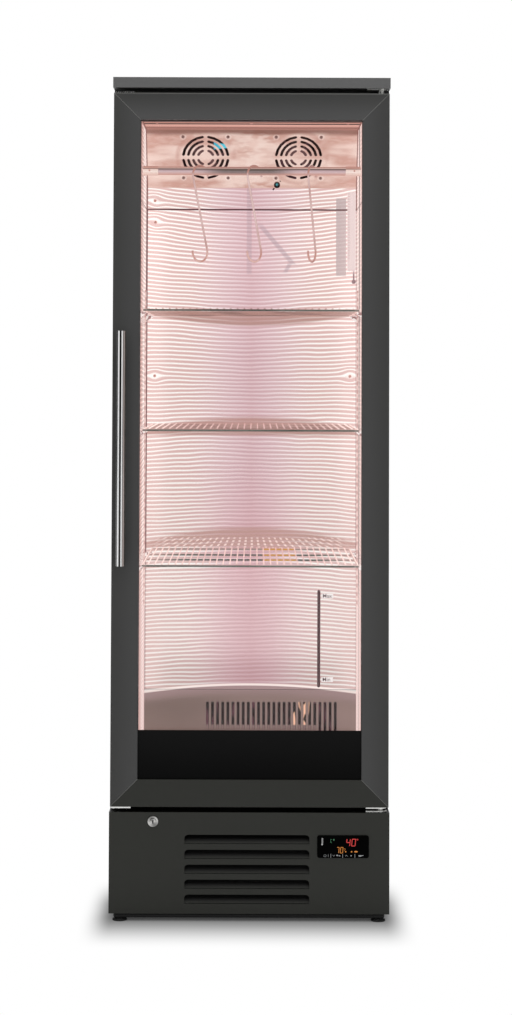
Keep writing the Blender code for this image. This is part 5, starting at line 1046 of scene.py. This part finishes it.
def bar_colour(finish, x, y, z):
    # Painted reflection: level bands round the tube.
    level = (z - bar_z) / bar_radius * 0.5 + 0.5
    outer = bands(level, (0.00, 186, 132, 116), (0.14, 214, 170, 162), (0.34, 214, 184, 186),
                  (0.52, 196, 168, 172), (0.64, 128, 110, 108), (0.72, 84, 70, 66), (0.79, 232, 200, 190),
                  (0.88, 182, 132, 120), (1.00, 138, 94, 84))
    centre = bands(level, (0.00, 190, 142, 128), (0.16, 172, 140, 134), (0.32, 128, 112, 110),
                   (0.46, 124, 108, 106), (0.58, 98, 92, 86), (0.70, 112, 94, 88), (0.80, 214, 176, 168),
                   (0.89, 158, 112, 100), (1.00, 148, 104, 93))
    return abs(x + 0.01).ramp(0.13, 0.05).mix(outer, centre)


def socket_colour(finish, x, y, z):
    # Painted reflection: level bands round the socket.
    level = (z - bar_z) / SOCKET_RADIUS * 0.5 + 0.5
    return bands(level, (0.00, 176, 128, 116), (0.10, 236, 200, 188), (0.40, 252, 230, 220),
                 (0.62, 240, 212, 202), (0.69, 120, 84, 75), (0.78, 212, 164, 152), (1.00, 146, 100, 88))


bar_steel = glowing("bar_steel", bar_colour, 0.90, 0.12, (0.09, 0.08, 0.08))
bar_bm = turned([(0.0, bar_low.x), (bar_radius, bar_low.x), (bar_radius, bar_high.x), (0.0, bar_high.x)],
                (0.0, bar_y, bar_z), "X")
keep("hanging_bar_tube", bar_bm, bar_steel, "polished_steel", "hanging_bar")
socket_steel = glowing("socket_steel", socket_colour, 0.90, 0.2, (0.10, 0.09, 0.09))
for name, side in (("left", -1), ("right", 1)):
    wall, mouth = side * socket_high.x, side * socket_low.x
    inward = [(0.0, wall), (SOCKET_RADIUS, wall), (SOCKET_RADIUS, wall - side * 0.0030),
              (0.0112, wall - side * 0.0036), (0.0112, mouth + side * 0.0012), (0.0108, mouth),
              (0.0102, mouth), (0.0102, mouth + side * 0.004), (0.0, mouth + side * 0.004)]
    cup = turned(inward, (0.0, bar_y, bar_z), "X")
    keep("bar_socket_cup_" + name, cup, socket_steel, "polished_steel", "bar_socket_" + name)
set_screws = [((side * 0.2400, bar_y - 0.0112, bar_z), (0, -1, 0)) for side in (-1, 1)]
screws("socket_screws", set_screws, 0.0022, rose_screw)

# The S-hooks: round stainless wire, bent to a half circle at each end and hung over the bar. Each one
# swings on the bar by itself.
HOOK_WIRE = 0.0023
HOOK_BEND = 0.023
HOOK_LENGTH = 0.230
HOOK_SWEEP = 200.0
HOOK_PLACES = {"left": (-0.1210, 47.0), "middle": (0.0060, 45.0), "right": (0.1410, 24.0)}


def hook_colour(finish, x, y, z):
    # Painted light: the wire glows with painted reflections, browner on the lower bend and near the bar, and painted
    # shade darkens it where it turns away towards its outline.
    bend = z.ramp(1.475, 1.445)
    shine = finish.cloud(x * 30.0, y * 30.0, z * 14.0, 2.0)
    core = shine.ramp(0.35, 0.65).mix(seen(194, 154, 148), seen(226, 198, 194))
    core = bend.mix(core, shine.ramp(0.40, 0.60).mix(seen(200, 146, 134), seen(228, 188, 178)))
    core = z.ramp(1.630, 1.645).mix(core, seen(186, 136, 124))
    edge = bend.mix(seen(136, 100, 97), seen(148, 98, 90))
    rim = finish.node("ShaderNodeLayerWeight", inputs={"Blend": 0.5}).out("Facing")
    return rim.ramp(0.30, 0.72).mix(core, edge)


def bow(centre_up, start, end, steps=28):
    """One bend of a hook, between two angles in degrees."""
    turns = [math.radians(start + (end - start) * n / steps) for n in range(steps + 1)]
    return [(HOOK_BEND * math.cos(t), centre_up + HOOK_BEND * math.sin(t)) for t in turns]


hook_steel = glowing("hook_steel", hook_colour, 0.88, 0.14, (0.12, 0.10, 0.10))
hook_top = bar_radius + 0.0003 + HOOK_WIRE
upper, lower = hook_top - HOOK_BEND, hook_top + 2 * HOOK_WIRE - HOOK_LENGTH + HOOK_BEND
lean = math.degrees(math.asin(2 * HOOK_BEND / (upper - lower)))
wire_line = bow(upper, HOOK_SWEEP - lean, -lean) + bow(lower, 180 - lean, 180 - lean + HOOK_SWEEP)
for name, (x, yaw) in HOOK_PLACES.items():
    turn = math.radians(yaw)
    path = [(x - along * math.sin(turn), bar_y - along * math.cos(turn), bar_z + up) for along, up in wire_line]
    hook = "hook_" + name
    bent_rod("hook_wire_" + name, path, HOOK_WIRE, hook_steel, "polished_steel", hook, body=hook)

# The shelves: welded steel wire, nickel plated. Close long wires lie across a bent rim and two cross
# wires, and are spot welded to them. The wires glow with painted light: the long ones on top pale as lit,
# the rim and cross wires below darker as painted shade, with painted reflections and highlights.
SHELF_SIDE, SHELF_FRONT, SHELF_DEPTH = 0.2375, -0.197, 0.446
SHELF_WIRE, SHELF_RIM, SHELF_CROSS = 0.0015, 0.0024, 0.0020
SHELF_COUNT, SHELF_PITCH = 31, 0.0150
# For each shelf: two tones of the lit long wires, then two of the painted shade on the rim and cross wires.
SHELF_TONES = {
    "lower": ((206, 168, 162), (232, 200, 194), (70, 76, 68), (92, 96, 88)),
    "middle": ((180, 142, 134), (196, 158, 150), (164, 126, 119), (178, 140, 132)),
    "upper": ((160, 122, 113), (196, 152, 142), (150, 114, 106), (182, 138, 128)),
}
base, side, front, depth, height, count, pitch, wire, rim, cross, finish = plan(
    "wire_shelf", Side="Float", Front="Float", Depth="Float", Height="Float", Count="Int", Pitch="Float",
    Wire="Float", Rim="Float", Cross="Float", Finish="Material",
)


def straight_rod(start, end, radius, sides):
    line = base.node("GeometryNodeCurvePrimitiveLine", inputs={"Start": start, "End": end})
    return swept(line, radius, sides)


first = base.at((count - 1.0) * pitch * -0.5, front - 0.0022, height + wire + rim * 0.75)
long_wire = straight_rod((0.0, 0.0, 0.0), base.at(y=depth + 0.0044), wire, 8)
long_wires = row_of(long_wire, count, base.at(pitch), first)
first = base.at(0.0, front + depth * 0.36, height - 0.0005)
cross_wires = row_of(straight_rod(base.at(side * -1.0), base.at(side), cross, 10), 2, base.at(y=depth * 0.29), first)
loop = base.node("GeometryNodeCurvePrimitiveQuadrilateral", inputs={"Width": side * 2.0, "Height": depth})
loop = loop.node("GeometryNodeFilletCurve", {"mode": "POLY"}, {"Curve": loop, "Count": 5, "Radius": 0.008})
lift = {"Geometry": swept(loop, rim, 12, False), "Translation": base.at(0.0, front + depth * 0.5, height)}
bent_rim = base.node("GeometryNodeTransform", inputs=lift)
welded = base.node("GeometryNodeJoinGeometry", inputs={"Geometry": [long_wires, cross_wires, bent_rim]})
welded = welded.node("GeometryNodeSetShadeSmooth", inputs={"Geometry": welded})
shelf_plan = end_plan(welded, finish)

for name, tones in SHELF_TONES.items():
    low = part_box("shelf_" + name)[0]
    shelf_z = low.z + SHELF_RIM + 0.0001

    def shelf_colour(finish, x, y, z):
        # Painted light: patches of lit tone on the long wires on top, painted shade on the rim and cross wires
        # below, painted reflections in amber and grey, and painted highlights towards the ends.
        patches = finish.cloud(x * 9.0, y * 7.0, z * 9.0).ramp(0.40, 0.60)
        pale_low, pale_high, shaded_low, shaded_high = (seen(*tone) for tone in tones)
        pale, thick = patches.mix(pale_low, pale_high), patches.mix(shaded_low, shaded_high)
        if name == "lower":
            thick = (y - low.y).ramp(0.40, 0.44).mix(thick, seen(160, 138, 132))
            amber = abs(x - 0.066).ramp(0.040, 0.036) * ((y - low.y) > 0.12)
            thick = (amber * 0.90).mix(thick, seen(212, 150, 54))
        ends = abs(x).ramp(0.15, 0.235)
        pale = ends.mix(pale, seen(240, 214, 206))
        thick = (ends * 0.7).mix(thick, seen(206, 166, 158))
        grey = patches.mix(*(seen(*tone) for tone in SHELF_TONES["lower"][2:]))
        thick = (y < low.y + 0.006).mix(thick, grey)
        return (z - shelf_z).ramp(0.0016, 0.0024).mix(thick, pale)

    shelf_steel = glowing("shelf_steel_" + name, shelf_colour, 0.82, 0.22, (0.20, 0.18, 0.18))
    grow("shelf_wires_" + name, shelf_plan, points("shelf_base_" + name, [(0, 0, 0)]), "wire_steel",
         "shelf_" + name, Side=SHELF_SIDE, Front=SHELF_FRONT, Depth=SHELF_DEPTH, Height=shelf_z,
         Count=SHELF_COUNT, Pitch=SHELF_PITCH, Wire=SHELF_WIRE, Rim=SHELF_RIM, Cross=SHELF_CROSS,
         Finish=shelf_steel.material)


def upright_colour(finish, x, y, z):
    """Painted shade in a slot every 20 mm, and painted glints where the clips stand out from the wall; the
    steel glows with painted light.
    """
    slot = abs(to_nearest(z - SHELF_HEIGHTS[0], 0.0200)).ramp(0.0060, 0.0030)
    steel = slot.mix(seen(232, 202, 195), seen(196, 152, 146))
    glints = finish.cloud(x * 160.0, y * 120.0, z * 190.0).ramp(0.44, 0.54)
    clip = glints.mix(seen(128, 82, 84), seen(255, 250, 246))
    return ((0.252 - abs(x)).ramp(0.0005, 0.0015) * 0.85).mix(steel, clip)


paint(glowing("upright_steel", upright_colour, 0.80, 0.3), "shelf_standard_front_left",
      "shelf_standard_front_right", "shelf_standard_rear_left", "shelf_standard_rear_right")

# The door frame: four mitred aluminium profiles, coated charcoal, with painted shading: each profile's
# tone changes across its face, and the profiles are lit and shaded copies of one coat, the bottom one
# darkest. The cut edges of each mitre show as a thin pale line, partly bare metal and partly painted
# highlight.
MITRE_LINE = 0.0007
PROFILE = 0.058
stile_low, stile_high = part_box("door_frame_left")


def frame_coat(name, low_tone, high_tone, along_z):
    """Coat of one door profile: painted shading across its face, a painted highlight along its top edge, and
    pale mitre edges, partly bare cut metal and partly painted highlight.
    """
    finish = Finish(name, specular_ior_level=0.32)
    x, y, z = finish.places()
    speckle = finish.grain(PEEL_LUMPS)
    # Painted shading: the tone changes across the profile's face.
    painted_light_drift = z.ramp(stile_high.z, stile_high.z - PROFILE) if along_z else (abs(x) - 0.24).ramp(PROFILE, 0.0)
    tint = (0.93 + speckle * 0.12).times(painted_light_drift.mix(low_tone, high_tone))
    inward = 0 - stile_low.x - abs(x)
    upper, lower = abs(inward - (stile_high.z - z)), abs(inward - (z - stile_low.z))
    mitre = finish.math("MINIMUM", upper, lower).ramp(MITRE_LINE, MITRE_LINE * 0.4)
    # Painted highlight along the top edge.
    rim = abs(z - stile_high.z).ramp(0.0026, 0.0014) * 0.5
    tint = rim.mix(tint, (0.11, 0.11, 0.105))
    finish.set(base_color=mitre.mix(tint, (0.17, 0.17, 0.16)), roughness=0.36 + speckle * 0.12)
    finish.bump(speckle, PEEL_DEPTH)
    return finish


# Lit and shaded copies of one coat: each profile has its own tones, the bottom one darkest as painted shade.
paint(frame_coat("top_profile_coat", (0.029, 0.029, 0.028), (0.048, 0.048, 0.048), True), "door_frame_top")
paint(frame_coat("side_profile_coat", (0.031, 0.031, 0.030), (0.041, 0.041, 0.041), False),
      "door_frame_left", "door_frame_right")
paint(frame_coat("bottom_profile_coat", FRONT_BLACK, FRONT_BLACK, True), "door_frame_bottom")

# The glazing: two clear panes with an aluminium spacer between them, and a black band printed across the
# foot of the outer one. The door's gasket is rubber, and so is the strip between the case and its base.
BAND_TOP = 0.4065
MIRROR_TINT = (0.9, 0.95, 0.93)


def pane(name, printed):
    """Clear glass: a thin mirror that lets through what it doesn't reflect."""
    finish = Finish(name, roughness=0.02, base_color=MIRROR_TINT, metallic=1.0)
    x, y, z = finish.places()
    mirror = finish.node("ShaderNodeFresnel", inputs={"IOR": 1.45}) ** 1.4
    if not printed:
        return finish.set(alpha=mirror)
    band = z < BAND_TOP
    ink = z.ramp(0.30, BAND_TOP).mix((0.0018, 0.0018, 0.0018), (0.0050, 0.0050, 0.0050))
    return finish.set(base_color=band.mix(MIRROR_TINT, ink), metallic=1.0 - band, roughness=band * 0.30 + 0.02,
                      alpha=band.either(mirror), specular_ior_level=0.045)


paint(pane("printed_glass", True), "outer_glass")
paint(pane("clear_glass", False), "inner_glass")
paint(brushed("spacer_metal", (0.05, 0.05, 0.05)), "glass_spacer")
gasket_rubber = moulded("gasket_rubber", (0.006, 0.006, 0.006), 0.6)
paint(gasket_rubber, "door_gasket")
plates("base_seal", [oblong(-0.2985, 0.2985, 0.2331, 0.2372)], shell_low.y - 0.0010, shell_low.y - 0.0001,
       gasket_rubber, "black_rubber")

# The handle: a polished stainless tube on two posts with collars, screwed through the left profile. Narrow
# upright bands painted into its base colour stand for its reflections of the dim room and the lamps.
HANDLE_RADIUS = 0.0100
HANDLE_POST = 0.055
handle_low, handle_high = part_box("handle_bar")
handle_x, handle_y = (handle_low.x + handle_high.x) / 2, handle_low.y + HANDLE_RADIUS
handle_steel = Finish("handle_steel", metallic=0.35, roughness=0.22)
x, y, z = handle_steel.places()
rubbed = handle_steel.cloud(x * 3.0, y * 3.0, z * 0.1, 2.0, 500.0)
# Painted reflection: dark and bright upright bands across the tube.
upright = bands((x - handle_x) / (2 * HANDLE_RADIUS) + 0.5, (0.00, 2, 2, 2), (0.12, 8, 8, 8),
                (0.19, 226, 226, 226), (0.30, 226, 226, 226), (0.36, 6, 6, 6), (0.53, 10, 10, 10),
                (0.58, 232, 232, 232), (0.66, 210, 210, 210), (0.72, 44, 42, 42), (0.81, 180, 166, 162),
                (0.90, 96, 90, 86), (1.00, 60, 58, 56))
handle_steel.set(base_color=(0.92 + rubbed * 0.16).times(upright))
foot = [(0.0, 0.0), (0.0090, 0.0), (0.0097, 0.0004), (HANDLE_RADIUS, 0.0012)]
tube = [(radius, handle_low.z + along) for radius, along in foot]
tube += [(radius, handle_high.z - along) for radius, along in reversed(foot)]
keep("handle_tube", turned(tube, (handle_x, handle_y, 0.0), steps=64), handle_steel, "polished_steel",
     "handle_bar", body="door")
reach = handle_high.y - handle_y
post = [(0.0, -reach), (0.0086, -reach), (0.0088, 0.0004 - reach), (0.0085, 0.0026 - reach),
        (0.0060, 0.0030 - reach), (0.0060, -0.006), (0.0, -0.006)]
posts = bmesh.new()
for post_z in (handle_low.z + HANDLE_POST, handle_high.z - HANDLE_POST):
    turned(post, (handle_x, handle_y, post_z), "Y", 32, posts)
keep("handle_posts", posts, handle_steel, "polished_steel", "handle_bar", body="door")

# The hinges and the corner plates: zinc plated steel, screwed to the door and the case. The door turns
# on riveted pins with polished collars.
zinc = plated("zinc", (0.62, 0.62, 0.60), 0.32)
paint(zinc, "hinge_bracket_top", "hinge_bracket_bottom")
bright_zinc = plated("bright_zinc", (0.80, 0.80, 0.78), 0.26)
paint(bright_zinc, "door_hinge_plate", "corner_plate_top", "corner_plate_bottom")
plate_low, plate_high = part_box("door_hinge_plate")
bracket_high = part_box("hinge_bracket_top")[1]
for name, body, under in (("door", "door", plate_low.z + 0.0001), ("case", "cabinet", bracket_high.z - 0.0029)):
    places = [((plate_low.x + across, plate_high.y - 0.0060, under), (0, 0, -1)) for across in (0.0070, 0.0180)]
    screws("hinge_screws_" + name, places, 0.0030, zinc, 0.0010, body)
